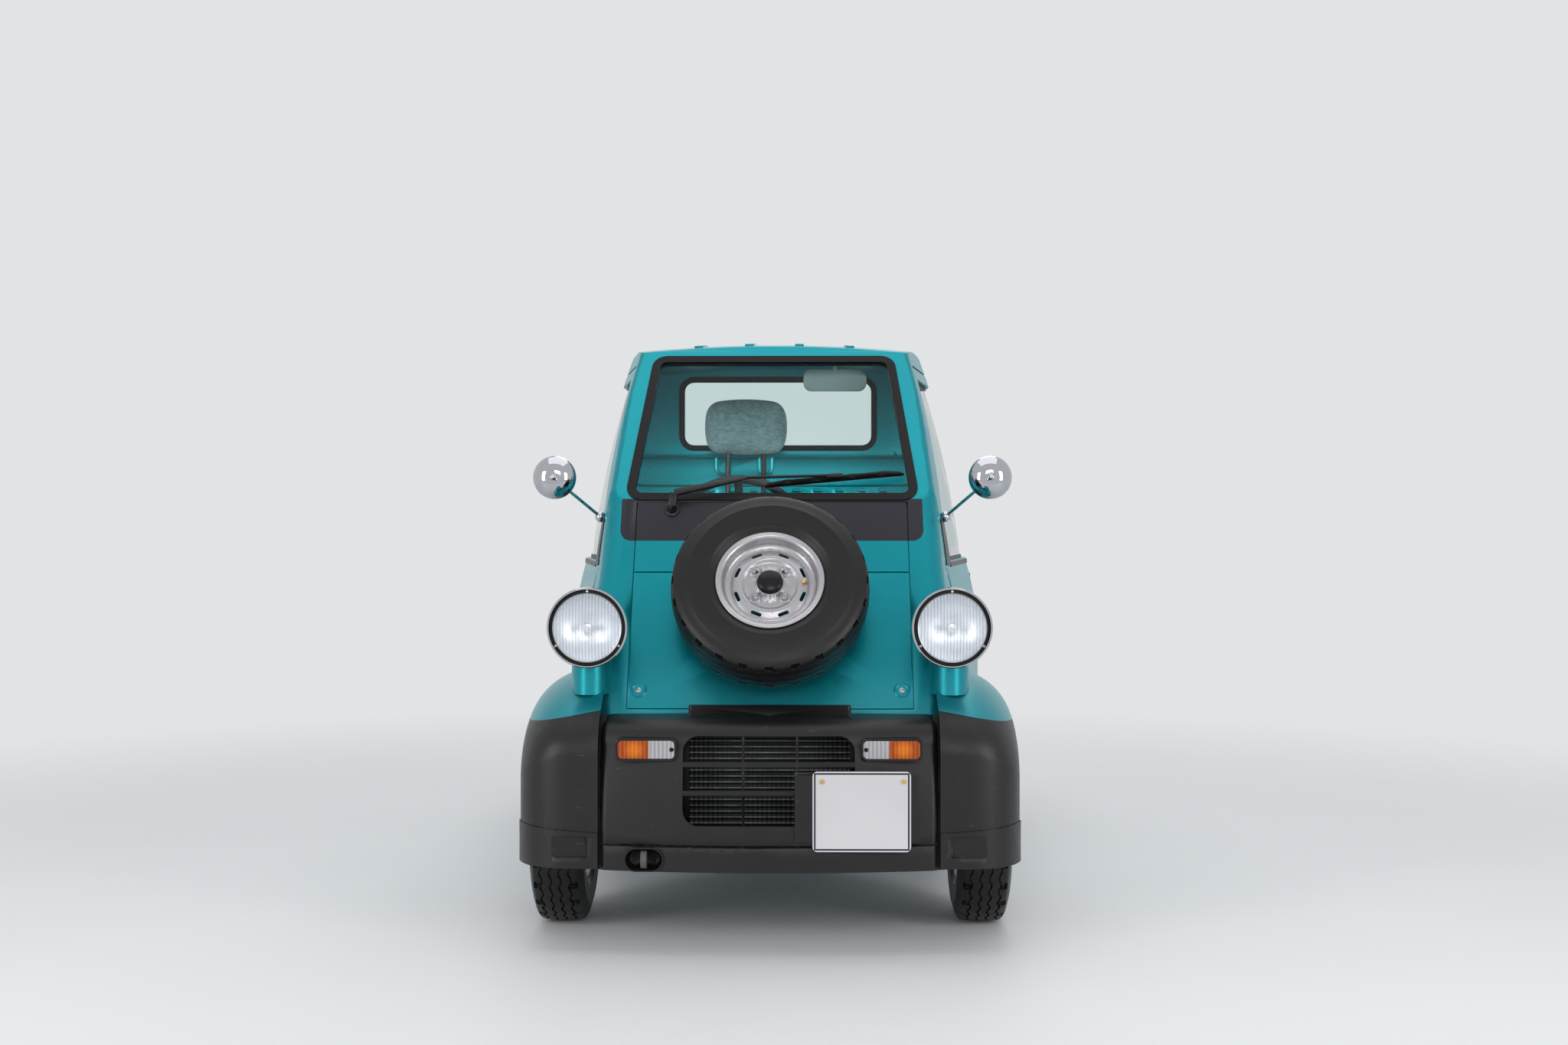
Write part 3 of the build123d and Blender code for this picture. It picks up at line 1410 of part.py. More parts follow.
with BuildPart() as rear_bumper:
    add(slab(-570, 570, frame_rear_y, frame_rear_y + 44, rail_low_rear - 90, rail_low_rear + 34))
    fillet(rear_bumper.edges().filter_by(Axis.X) + rear_bumper.edges().filter_by(Axis.Z), 14)
rear_bumper.part.label = "rear_bumper"
export_step(rear_bumper.part, "parts/rear_bumper.step")

with BuildPart() as tail_lamp:
    add(slab(400, 560, frame_rear_y + 2, frame_rear_y + 38, rail_low_rear + 34, rail_low_rear + 104))
    fillet(tail_lamp.faces().sort_by(Axis.Y)[-1].edges(), 5)
tail_lamps = pair_of(tail_lamp.part)
tail_lamps.label = "tail_lamps"
export_step(tail_lamps, "parts/tail_lamps.step")

# Fuel tank on the left rail and the exhaust on the right
with BuildPart() as fuel_tank:
    add(slab(rail_outer_x, 560, 350, 600, 412, 545))
    fillet(fuel_tank.edges().filter_by(Axis.X), 30)
fuel_tank.part.label = "fuel_tank"
export_step(fuel_tank.part, "parts/fuel_tank.step")

with BuildPart() as exhaust:
    muffler_y = frame_rear_y - 156
    muffler_z = axle_z + 125
    add(rod((-200, 120, 300), (-200, 560, axle_z + 40), 20))
    with Locations((-200, 560, axle_z + 40)):
        Sphere(20)
    add(rod((-200, 560, axle_z + 40), (-200, muffler_y, muffler_z), 20))
    add(rod((-240, muffler_y, muffler_z), (240, muffler_y, muffler_z), 66))
    add(rod((190, muffler_y, muffler_z), (190, rear_end_y - 3, muffler_z - 35), 18))
    for x in (-150, 150):
        add(slab(x - 10, x + 10, muffler_y - 10, muffler_y + 10, muffler_z + 55, rail_low_rear + 8))
exhaust.part.label = "exhaust"
export_step(exhaust.part, "parts/exhaust.step")
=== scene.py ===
# %% [markdown]
# # A small single-seat pickup truck
# The truck is built in three layers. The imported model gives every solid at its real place, in metres,
# with the front towards -Y and the roof towards +Z. This lesson then gives each solid a smooth skin and
# a finish. Last, it adds what a solid model leaves out: the tread, the nuts, the lamp optics, the padding
# of the seat and the dirt. New pieces are modelled with bmesh, Blender's own set of mesh operators,
# because each step can then be read like a step at a workbench: spin this outline, bevel those edges.

import json
from math import atan2, cos, pi, radians, sin

import bmesh
import bpy
from mathutils import Matrix, Vector
from mathutils.bvhtree import BVHTree


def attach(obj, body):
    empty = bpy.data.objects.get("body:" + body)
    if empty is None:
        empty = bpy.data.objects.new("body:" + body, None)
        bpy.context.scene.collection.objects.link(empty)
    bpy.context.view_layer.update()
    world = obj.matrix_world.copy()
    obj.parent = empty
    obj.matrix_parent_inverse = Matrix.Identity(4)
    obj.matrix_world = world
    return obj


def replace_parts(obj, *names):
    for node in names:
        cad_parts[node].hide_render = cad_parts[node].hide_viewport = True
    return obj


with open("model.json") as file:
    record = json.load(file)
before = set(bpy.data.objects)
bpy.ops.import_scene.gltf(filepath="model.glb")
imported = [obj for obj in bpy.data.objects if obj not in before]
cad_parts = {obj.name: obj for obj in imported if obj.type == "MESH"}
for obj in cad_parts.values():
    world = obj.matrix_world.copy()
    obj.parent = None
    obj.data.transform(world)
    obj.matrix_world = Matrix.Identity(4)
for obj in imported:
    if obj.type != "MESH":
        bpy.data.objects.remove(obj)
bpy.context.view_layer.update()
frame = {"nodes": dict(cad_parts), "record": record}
body_of_node = {
    node: body for body, nodes in frame["record"]["behaviour"]["bodies"].items() for node in nodes
}
slot_of_node = {row["node"]: row["material_slot"] for row in frame["record"]["subparts"]}

# %% [markdown]
# ## Camera
# The photograph was taken from straight ahead, six metres from the middle of the truck, at the height of
# the upper part of the spare wheel. A camera can be placed by eye until the outlines agree. Here the
# distance and the focal length were worked out together from the known sizes of the tyres, the body and
# the plate, so near and far pieces have the right sizes beside each other too.

# %% Camera
lens_mm = 42.19
sensor_mm = 36.0
camera_place = (0.087, -5.970, 1.086)
camera_turn = 0.0106
camera_data = bpy.data.cameras.new("photo_camera")
camera_data.lens = lens_mm
camera_data.sensor_width = sensor_mm
camera = bpy.data.objects.new("photo_camera", camera_data)
bpy.context.scene.collection.objects.link(camera)
camera.location = camera_place
camera.rotation_euler = (radians(90), 0, camera_turn)
bpy.context.scene.camera = camera
print("camera at", camera_place, "with a lens of", lens_mm, "mm")

# %% [markdown]
# ## Light
# Glossy paint shows what stands round it, so the shape of a lamp matters as much as its strength. Point
# lamps would leave small hard spots. Soft boxes are used instead: two tall ones in front, left and
# right, draw the long highlights down the nose and over the corners of the bumper. One in front reaches
# through the windshield to the rear wall of the cab, a large one hangs above, and one lights the back.


# %% Soft boxes
def soft_box(name, place, target, width, height, watts):
    """A flat lamp of width by height metres at place, turned towards target."""
    data = bpy.data.lights.new(name, "AREA")
    data.shape = "RECTANGLE"
    data.size = width
    data.size_y = height
    data.energy = watts
    lamp = bpy.data.objects.new(name, data)
    bpy.context.scene.collection.objects.link(lamp)
    lamp.location = place
    lamp.rotation_euler = (Vector(target) - Vector(place)).to_track_quat("-Z", "Y").to_euler()
    return lamp


lamps = [
    soft_box("box_left", (-4.0, -4.4, 1.7), (0, -0.9, 0.7), 1.6, 2.8, 84),
    soft_box("box_right", (4.0, -4.4, 1.7), (0, -0.9, 0.7), 1.6, 2.8, 84),
    soft_box("box_front", (0.4, -7.4, 3.2), (0, -0.2, 1.1), 2.6, 1.6, 62),
    soft_box("box_above", (0, -0.2, 5.4), (0, 0, 0), 5.0, 5.0, 70),
    soft_box("box_behind", (0.6, 4.4, 5.8), (0, 0.9, 0.5), 3.6, 2.6, 70),
]
print("lamps", [lamp.name for lamp in lamps])

# %% [markdown]
# ## Surroundings
# The studio is pale all round. One pale world would do, but it would also wash out the colours, because
# a world lights the truck from every side. So the world has two strengths. Where the camera, a reflection
# or a glass pane sees it, it is pale, and where it only lights the truck it is dimmer. The Light Path node
# tells the two kinds of ray apart.

# %% World
world = bpy.data.worlds.new("studio")
bpy.context.scene.world = world
world.use_nodes = True
sky_tree = world.node_tree
sky_tree.nodes.clear()


def surroundings(colour, strength):
    """One plain colour all round, as the output of a Background node."""
    node = sky_tree.nodes.new("ShaderNodeBackground")
    node.inputs["Color"].default_value = (*colour, 1)
    node.inputs["Strength"].default_value = strength
    return node.outputs[0]


def either_of(first, second):
    """The larger of two yes-or-no outputs, which is yes where one of them is."""
    node = sky_tree.nodes.new("ShaderNodeMath")
    node.operation = "MAXIMUM"
    sky_tree.links.new(first, node.inputs[0])
    sky_tree.links.new(second, node.inputs[1])
    return node.outputs[0]


ray_is = sky_tree.nodes.new("ShaderNodeLightPath").outputs
seen = either_of(either_of(ray_is["Is Camera Ray"], ray_is["Is Glossy Ray"]), ray_is["Is Transmission Ray"])
dim = surroundings((0.80, 0.83, 0.88), 0.46)
pale = surroundings((0.76, 0.77, 0.78), 1.0)
chosen_sky = sky_tree.nodes.new("ShaderNodeMixShader")
for socket, source in enumerate((seen, dim, pale)):
    sky_tree.links.new(source, chosen_sky.inputs[socket])
sky = sky_tree.nodes.new("ShaderNodeOutputWorld")
sky_tree.links.new(chosen_sky.outputs[0], sky.inputs["Surface"])
bpy.context.scene.view_settings.view_transform = "Standard"
print("world of", len(sky_tree.nodes), "nodes")

# %% [markdown]
# ## Finishes
# A finish is what a maker does to a surface: paint, grain, polish. Image textures could show it, but they
# stretch and repeat. Here each finish is a small network of nodes that reads the place on the object in
# metres, so a grain of half a millimetre is that size on every piece. The first helpers start a finish
# and add its nodes.


# %% Start a finish and add nodes to it
def finish_named(name, colour, rough, metallic=0.0, coat=0.0, coat_rough=0.05, shine=0.5):
    """A new finish with one plain colour, and the shader that later nodes connect to."""
    mat = bpy.data.materials.new(name)
    mat.use_nodes = True
    shader = mat.node_tree.nodes["Principled BSDF"]
    shader.inputs["Base Color"].default_value = (*colour, 1)
    shader.inputs["Roughness"].default_value = rough
    shader.inputs["Metallic"].default_value = metallic
    shader.inputs["Coat Weight"].default_value = coat
    shader.inputs["Coat Roughness"].default_value = coat_rough
    shader.inputs["Specular IOR Level"].default_value = shine
    return mat, shader


def add_node(mat, kind, links=(), **values):
    """A node of a kind, with values for its sockets or settings and links into it."""
    node = mat.node_tree.nodes.new("ShaderNode" + kind)
    for key, value in values.items():
        if key in node.inputs:
            node.inputs[key].default_value = value
        else:
            setattr(node, key, value)
    for socket, source in links:
        mat.node_tree.links.new(source, node.inputs[socket])
    return node


def connect(mat, output, shader, socket):
    """Leads an output into a socket of the shader."""
    mat.node_tree.links.new(output, shader.inputs[socket])


print("a finish is one shader and the nodes that lead to it")

# %% [markdown]
# ### Places and lengths in a finish
# A pattern on a real piece lies at a measured place: a border four millimetres from the edge, a rib every
# few millimetres. These helpers read the place on the object and do the sums with it. Painting a mask by
# hand would need an unwrapped mesh, and it would have to be painted again after each change of shape.


# %% Measure on the object
def object_space(mat):
    """The place on the object, in metres."""
    return add_node(mat, "TexCoord").outputs["Object"]


def axes_of(mat):
    """The same place as three outputs, X, Y and Z."""
    return add_node(mat, "SeparateXYZ", [("Vector", object_space(mat))]).outputs


def math_node(mat, operation, first, second=None):
    """One sum, of numbers or of outputs."""
    node = add_node(mat, "Math", operation=operation)
    for i, value in enumerate((first, second)):
        if value is None:
            continue
        if isinstance(value, (int, float)):
            node.inputs[i].default_value = value
        else:
            mat.node_tree.links.new(value, node.inputs[i])
    return node.outputs[0]


def past_strip(mat, place, middle, half):
    """How far a place lies outside a strip that reaches half to each side of its middle."""
    away = math_node(mat, "ABSOLUTE", math_node(mat, "SUBTRACT", place, middle))
    return math_node(mat, "SUBTRACT", away, half)


def straight_reach(mat, across, up):
    """The straight distance that a way across and a way up make together."""
    squares = [math_node(mat, "MULTIPLY", way, way) for way in (across, up)]
    return math_node(mat, "SQRT", math_node(mat, "ADD", *squares))


def waves(mat, place, rate):
    """Even waves along one direction, rate being their number a metre times two pi."""
    return math_node(mat, "SINE", math_node(mat, "MULTIPLY", place, rate))


print("places can be measured")

# %% [markdown]
# ### Clouds, blends and bumps
# No real surface is even. Most finishes here start from the same three things: a colour, a cloud of noise
# that varies it, and a finer noise that makes the surface uneven. A bump only bends the light, which is
# enough for grain and fine ribs. Forms that show in the outline are real shape.


# %% Vary a surface
def clouds(mat, scale, detail=3.0, stretch=None):
    """Soft noise from 0 to 1; a larger scale makes it finer."""
    source = object_space(mat)
    if stretch:
        source = add_node(mat, "Mapping", [("Vector", source)], Scale=stretch).outputs[0]
    return add_node(mat, "TexNoise", [("Vector", source)], Scale=scale, Detail=detail).outputs["Fac"]


def ramp(mat, value, start, end, low=0.0, high=1.0):
    """Turns what lies from start to end into low to high, and holds it there outside."""
    ends = {"From Min": start, "From Max": end, "To Min": low, "To Max": high}
    return add_node(mat, "MapRange", [("Value", value)], **ends).outputs[0]


def two_colours(mat, factor, first, second):
    """Blends two colours, or the outputs of two blends, by a factor."""
    node = add_node(mat, "Mix", [("Factor", factor)], data_type="RGBA")
    for key, value in (("A", first), ("B", second)):
        socket = [s for s in node.inputs if s.name == key and s.type == "RGBA"][0]
        if isinstance(value, tuple):
            socket.default_value = (*value, 1)
        else:
            mat.node_tree.links.new(value, socket)
    return [s for s in node.outputs if s.type == "RGBA"][0]


def bumped(mat, shader, height, strength, distance):
    """Makes a surface look raised where height is large."""
    bump = add_node(mat, "Bump", [("Height", height)], Strength=strength, Distance=distance)
    mat.node_tree.links.new(bump.outputs[0], shader.inputs["Normal"])


print("surfaces can be varied")

# %% [markdown]
# ### Masks of the paint
# The strip below the windshield is sprayed dark grey, with rounded lower corners, across the cowl and
# the feet of the pillars. It could be a piece of its own, but a painted strip has no thickness. So the
# mask cuts it out of the teal by the place on the object. Dust lies on the low panels and thins out
# upwards, so its mask is a height, broken up by a cloud.

# %% Grey strip and dust
strip_back_y = -0.84
strip_top_z = 1.152
dust_scale = 9
dust_detail = 6


def strip_mask(mat, half_width, low_z, radius):
    """1 on the grey strip and 0 elsewhere."""
    place = axes_of(mat)
    across = math_node(mat, "ABSOLUTE", place["X"])
    past_side = math_node(mat, "MAXIMUM", math_node(mat, "SUBTRACT", across, half_width - radius), 0.0)
    past_foot = math_node(mat, "MAXIMUM", math_node(mat, "SUBTRACT", low_z + radius, place["Z"]), 0.0)
    inside = math_node(mat, "LESS_THAN", straight_reach(mat, past_side, past_foot), radius)
    ahead = math_node(mat, "LESS_THAN", place["Y"], strip_back_y)
    below = math_node(mat, "LESS_THAN", place["Z"], strip_top_z)
    return math_node(mat, "MULTIPLY", inside, math_node(mat, "MULTIPLY", ahead, below))


def dust_mask(mat, low, high, amount):
    """Dust that is thickest at the height low and gone at the height high."""
    height = ramp(mat, axes_of(mat)["Z"], low, high, 1.0, 0.0)
    patchy = math_node(mat, "MULTIPLY", height, clouds(mat, dust_scale, dust_detail))
    return math_node(mat, "MULTIPLY", patchy, amount)


print("masks ready: strip below", strip_top_z, "m and ahead of", strip_back_y, "m")

# %% [markdown]
# ### Teal paint
# The body has a metallic teal paint under clear lacquer. Its flakes are too fine to be seen one by one, so
# they show as a broad sheen: a partly metallic surface under a thin coat. Fully metallic paint would turn
# black where it mirrors nothing, so about two thirds metal is used. The bed gets the same paint with bare
# steel showing in long scrapes, as loads leave them.

# %% Colours and gloss of the paint
teal_light = (0.0, 0.275, 0.320)
teal_deep = (0.0, 0.225, 0.280)
flake_teal = (0.01, 0.38, 0.44)
strip_grey = (0.022, 0.022, 0.030)
dust_colour = (0.30, 0.29, 0.26)
bare_steel = (0.30, 0.30, 0.31)
paint_rough = 0.34
paint_metal = 0.66
paint_coat = 0.15
lacquer_rough = 0.06
paint_shine = 0.30
scrape_stretch = (1.0, 0.08, 1.0)
print("teal from", teal_deep, "to", teal_light)

# %% [markdown]
# ### From colours to paint
# On the real truck the layers lie on each other: colour, flakes, dust, scrapes and the sprayed strip. The
# finish is built in that order, each layer blended over the last by its own mask. So a layer can be taken
# out or made stronger without touching the others.


# %% Layers of the paint
def body_paint(name, with_strip, wear=0.0):
    """Metallic teal; with_strip adds the grey strip, and wear is how bare the scrapes are."""
    mat, shader = finish_named(
        name, teal_light, paint_rough, paint_metal, paint_coat, lacquer_rough, paint_shine
    )
    colour = two_colours(mat, clouds(mat, 2.2, 2), teal_light, teal_deep)
    flakes = ramp(mat, clouds(mat, 900, 2), 0.0, 1.0, 0.0, 0.30)
    colour = two_colours(mat, flakes, colour, flake_teal)
    colour = two_colours(mat, dust_mask(mat, 0.30, 0.75, 0.30), colour, dust_colour)
    if wear:
        scrape = clouds(mat, 42, 8, scrape_stretch)
        colour = two_colours(mat, ramp(mat, scrape, 0.63, 0.69, 0.0, wear), colour, bare_steel)
    if with_strip:
        mask = strip_mask(mat, 0.416, 1.036, 0.03)
        colour = two_colours(mat, mask, colour, strip_grey)
        for socket, amount in (("Metallic", paint_metal), ("Coat Weight", paint_coat)):
            unmasked = math_node(mat, "SUBTRACT", 1.0, mask)
            connect(mat, math_node(mat, "MULTIPLY", unmasked, amount), shader, socket)
    connect(mat, colour, shader, "Base Color")
    connect(mat, ramp(mat, clouds(mat, 40, 4), 0.0, 1.0, 0.28, 0.42), shader, "Roughness")
    bumped(mat, shader, clouds(mat, 55, 2), 0.03, 0.002)
    return mat


paint = body_paint("teal_paint", False)
paint_with_strip = body_paint("teal_paint_with_grey_band", True)
bed_paint = body_paint("teal_paint_scuffed", False, 0.75)
print("paint", paint.name, paint_with_strip.name, bed_paint.name)

# %% [markdown]
# ### Moulded and cast surfaces
# Moulded plastic, rubber, cast metal and plain steel differ in colour, gloss and grain, but the way to
# build them is the same. So one helper makes them all: a colour with lighter clouds in it, dust that
# lies low, scuffs or specks where a noise peaks, an uneven gloss and a fine grain.


# %% One helper for grained finishes
def grained(
    name, colour, rough, grain_scale, grain_depth,
    dust=0.0, metallic=0.0, variation=0.25, shine=0.5, marks=None,
):
    """A surface with clouds, dust, marks, uneven gloss and grain; grain_depth is in metres."""
    mat, shader = finish_named(name, colour, rough, metallic, shine=shine)
    lighter = tuple(min(1.0, c * (1 + variation) + 0.004) for c in colour)
    result = two_colours(mat, clouds(mat, 6, 5), colour, lighter)
    if dust:
        result = two_colours(mat, dust_mask(mat, 0.0, 1.0, dust), result, dust_colour)
    if marks:
        scale, stretch, share, mark_colour = marks
        patch = ramp(mat, clouds(mat, scale, 7, stretch), share, share + 0.05)
        result = two_colours(mat, patch, result, mark_colour)
    connect(mat, result, shader, "Base Color")
    gloss = ramp(mat, clouds(mat, 18, 5), 0.0, 1.0, rough * 0.85, min(1.0, rough * 1.2))
    connect(mat, gloss, shader, "Roughness")
    bumped(mat, shader, clouds(mat, grain_scale, 3), 0.25, grain_depth)
    return mat


print("grained finishes can be made")

# %% [markdown]
# ### Plastic and rubber
# The bumper and the flares are moulded in black with a fine grain, and light scuffs run along them. A
# pure black would hide the shape, so the colour stays near black and the shine draws the form. Rubber is
# as dark, but duller. A tyre is matt and a little dusty, and its side wall is finely uneven.

# %% Plastic and rubber finishes
scuffs = (38, (1.0, 0.3, 2.6), 0.675, (0.030, 0.028, 0.030))
black_plastic = grained(
    "black_plastic", (0.0036, 0.0033, 0.0040), 0.40, 900, 0.0005,
    dust=0.010, variation=0.5, shine=0.38, marks=scuffs,
)
rubber = grained(
    "black_rubber", (0.0035, 0.0035, 0.0040), 0.42, 600, 0.0004, dust=0.008, variation=0.4, shine=0.18
)
tyre_rubber = grained(
    "tyre_rubber", (0.0042, 0.0040, 0.0042), 0.40, 420, 0.0008, dust=0.02, variation=0.6, shine=0.30
)
dash_plastic = grained("dash_plastic", (0.022, 0.023, 0.027), 0.58, 700, 0.0010, shine=0.3)
mirror_grey = grained("mirror_grey", (0.11, 0.14, 0.15), 0.45, 500, 0.0008)
cap_black = grained("cap_black", (0.004, 0.004, 0.005), 0.24, 400, 0.0002, variation=0.3, shine=0.25)
print("plastic and rubber", black_plastic.name, rubber.name, tyre_rubber.name, dash_plastic.name)

# %% [markdown]
# ### Metals
# Chrome is nearly a mirror, so most of its look is what stands round it, with faint wipe marks in its
# gloss. The rims are sprayed silver, which scatters light more, with small specks of rust. Steel
# underneath is painted black and dusty, and the engine and the axle are rough castings.

# %% Metal finishes
rust_specks = (120, None, 0.70, (0.17, 0.065, 0.025))
chassis_paint = grained(
    "chassis_paint", (0.007, 0.007, 0.008), 0.50, 300, 0.0008, dust=0.12, variation=0.4, shine=0.25
)
cast_metal = grained("cast_metal", (0.16, 0.155, 0.15), 0.62, 220, 0.0015, dust=0.35, metallic=0.7)
rim_silver = grained(
    "rim_silver", (0.40, 0.39, 0.405), 0.30, 500, 0.0003,
    dust=0.12, metallic=0.60, variation=0.10, shine=0.4, marks=rust_specks,
)
bright_steel = grained("bright_steel", (0.42, 0.42, 0.43), 0.28, 250, 0.0003, metallic=1.0)
chrome = grained("chrome", (0.46, 0.47, 0.50), 0.06, 60, 0.0001, metallic=1.0, variation=0.06)
post_black = grained("post_black", (0.02, 0.02, 0.022), 0.30, 300, 0.0002, metallic=0.5)
brass = grained("brass", (0.60, 0.42, 0.16), 0.25, 300, 0.0002, metallic=1.0)
print("metals", chassis_paint.name, cast_metal.name, rim_silver.name, chrome.name, brass.name)

# %% [markdown]
# ### Rust
# The tow eye and the exhaust are bare steel and have begun to rust. Rust eats in patches with soft edges,
# so a cloud of noise is cut off at a height: above it lies rust, below it steel. Raising the cut leaves
# less rust, which is how the two pieces differ.

# %% Rusty steel
rust_brown = (0.16, 0.055, 0.02)
rust_edge = 0.12
rusty_gloss = 0.9


def rusty(name, base, rust_from, rough=0.5):
    """Steel on which rust shows where a cloud of noise rises above rust_from."""
    mat, shader = finish_named(name, base, rough, 0.3)
    patch = ramp(mat, clouds(mat, 45, 8), rust_from, rust_from + rust_edge)
    connect(mat, two_colours(mat, patch, base, rust_brown), shader, "Base Color")
    gloss = ramp(mat, clouds(mat, 60, 5), 0.0, 1.0, rough * 0.8, rusty_gloss)
    connect(mat, gloss, shader, "Roughness")
    bumped(mat, shader, clouds(mat, 140, 5), 0.4, 0.0015)
    return mat


tow_steel = rusty("tow_steel", (0.10, 0.10, 0.105), 0.50)
exhaust_steel = rusty("exhaust_steel", (0.20, 0.19, 0.18), 0.52, 0.6)
print("rusty", tow_steel.name, exhaust_steel.name)

# %% [markdown]
# ### Radiator core
# Behind the grille stands the radiator: level fins between upright tubes, dark, with a painted highlight
# along their front edges, broken up by a cloud. Modelled one by one, the thin fins would cost many faces
# that only show as stripes between the slats of the grille, so two waves in the finish draw them.

# %% Radiator finish
fin_pitch = 0.0150
tube_pitch = 0.0120
core_black = (0.008, 0.009, 0.009)
# painted highlight: the pale colour given to the fins' front edges
fin_edge_highlight = (0.22, 0.25, 0.22)
radiator_fins, core_shader = finish_named("radiator_core", (0.02, 0.025, 0.024), 0.55, 0.4)
core_place = axes_of(radiator_fins)
fins = waves(radiator_fins, core_place["Z"], 2 * pi / fin_pitch)
tubes = waves(radiator_fins, core_place["X"], 2 * pi / tube_pitch)
fin_edge = ramp(radiator_fins, fins, 0.55, 0.8)
# painted highlight along the fins' front edges, broken up by a cloud
patchy_fin_highlight = math_node(radiator_fins, "MULTIPLY", fin_edge, clouds(radiator_fins, 35, 4))
core_colour = two_colours(radiator_fins, patchy_fin_highlight, core_black, fin_edge_highlight)
connect(radiator_fins, core_colour, core_shader, "Base Color")
relief = math_node(radiator_fins, "ADD", fins, math_node(radiator_fins, "MULTIPLY", tubes, 0.4))
bumped(radiator_fins, core_shader, relief, 0.7, 0.003)
print("radiator fins every", fin_pitch, "m")

# %% [markdown]
# ### Glass and lenses
# Glass that light has to pass is a problem for a path tracer: lamps can't shine straight through a
# refracting pane, so a cab behind real glass would be dark. For shadow rays the pane is therefore plainly
# transparent, and for all others it is real glass with a faint green tint. The panes have a faint film.
# The headlamp glass has upright flutes instead, drawn by a wave that bumps the glass and paints darker
# stripes of shade along them.

# %% Glass finishes
film_tint = 0.93
# painted shade: how much darker the stripes along the headlamp flutes are
painted_flute_shade = 0.68
flute_rate = 380.0


def clear_glass(name, tint, ior, flutes=0.0):
    """Glass with a film, or with upright flutes and painted stripes of shade along them where their rate is
    given.
    """
    mat, shader = finish_named(name, tint, 0.0)
    shader.inputs["Transmission Weight"].default_value = 1.0
    shader.inputs["IOR"].default_value = ior
    if flutes:
        pattern = math_node(mat, "ABSOLUTE", waves(mat, axes_of(mat)["X"], flutes))
        bumped(mat, shader, pattern, 0.25, 0.001)
    else:
        pattern = clouds(mat, 3.5, 6)
    # a darker tone for the film, or painted shade for the stripes along the flutes
    darker = tuple((painted_flute_shade if flutes else film_tint) * c for c in tint)
    connect(mat, two_colours(mat, pattern, darker, tint), shader, "Base Color")
    through = add_node(mat, "BsdfTransparent", Color=(*tint, 1))
    shadow = add_node(mat, "LightPath").outputs["Is Shadow Ray"]
    mix = add_node(mat, "MixShader", [(0, shadow), (1, shader.outputs[0]), (2, through.outputs[0])])
    connect(mat, mix.outputs[0], mat.node_tree.nodes["Material Output"], "Surface")
    return mat


window_glass = clear_glass("window_glass", (0.86, 0.95, 0.94), 1.16)
lamp_glass = clear_glass("lamp_glass", (0.97, 0.98, 0.99), 1.15, flute_rate)
print("glass", window_glass.name, lamp_glass.name)

# %% [markdown]
# ## Smooth skins
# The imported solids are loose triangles, so they would shade flat and show every facet of a round tube.
# Shading the solids smooth as they are does nothing, because their triangles share no corners. So a copy
# of each is merged at its corners and shaded smooth, with edges kept sharp where two faces meet at a clear
# angle. The copy then stands for the solid and rides on the same body.

# %% Turn a bmesh into a piece
shared_corner = 0.00002
sliver = 0.00001


def finished_object(name, mesh, material, body):
    """An object for a mesh, with its finish, on the body that carries it."""
    piece = bpy.data.objects.new(name, mesh)
    bpy.context.scene.collection.objects.link(piece)
    piece.data.materials.clear()
    piece.data.materials.append(material)
    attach(piece, body)
    return piece


def merged_copy(node):
    """A node's own triangles, joined at their shared corners."""
    shape = bmesh.new()
    shape.from_mesh(frame["nodes"][node].data)
    bmesh.ops.remove_doubles(shape, verts=shape.verts, dist=shared_corner)
    bmesh.ops.dissolve_degenerate(shape, edges=shape.edges, dist=sliver)
    return shape


def finish_shape(shape, name, material, body, angle=30):
    """Turns a finished bmesh into a smooth-shaded piece; edges above angle degrees stay sharp."""
    mesh = bpy.data.meshes.new(name)
    shape.to_mesh(mesh)
    shape.free()
    mesh.shade_smooth()
    mesh.set_sharp_from_angle(angle=radians(angle))
    return finished_object(name, mesh, material, body)


print("pieces can be finished")

# %% [markdown]
# ### A skin for each solid
# A sheet panel has large flat faces with narrow bends between them. Plain smooth shading smears the
# bends over the flats, as if the sheet were dented. A Weighted Normal modifier lets the large faces rule
# instead. The edges of the flares are shallow, so on them a smaller angle already counts as sharp.

# %% Skins of the truck
usual_edge = 28
flare_edge = 14


def even_shading(piece):
    """Lets the large flat faces rule the shading at their edges."""
    weighted = piece.modifiers.new("even_shading", "WEIGHTED_NORMAL")
    weighted.mode = "FACE_AREA"
    weighted.weight = 50
    weighted.keep_sharp = True


def smooth_skin(node, material, angle=usual_edge):
    """A smooth copy of a node that stands for it."""
    body, slot = body_of_node[node], slot_of_node[node]
    piece = finish_shape(merged_copy(node), node + "_skin", material, body, angle)
    even_shading(piece)
    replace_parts(piece, node)
    return piece


skins = {
    paint: ("cab_roof", "rear_wall", "nose_panel", "front_fenders", "cab_floor"),
    paint_with_strip: ("cab_shell", "cowl_panel", "door_left", "door_right"),
    bed_paint: ("bed_floor", "bed_walls", "tailgate"),
    black_plastic: ("front_bumper", "grille", "rear_bumper", "door_trim_left", "door_trim_right"),
    rubber: ("windshield_seal",),
    chassis_paint: (
        "chassis_frame", "front_suspension", "leaf_springs", "fuel_tank", "knuckle_left", "knuckle_right"
    ),
    cast_metal: ("engine", "rear_axle"),
    exhaust_steel: ("exhaust",),
    tow_steel: ("tow_hook",),
    radiator_fins: ("radiator",),
    chrome: ("mirror_left", "mirror_right"),
    mirror_grey: ("interior_mirror",),
    rim_silver: ("rim_spare", "rim_front_left", "rim_front_right", "rim_rear_left", "rim_rear_right"),
    bright_steel: ("cab_controls",),
    dash_plastic: ("dashboard", "steering_wheel"),
    window_glass: ("cab_glass", "door_glass_left", "door_glass_right"),
}
skinned = [smooth_skin(node, finish) for finish, nodes in skins.items() for node in nodes]
skinned.append(smooth_skin("wheel_arch_flares", black_plastic, flare_edge))
print("skins", len(skinned))

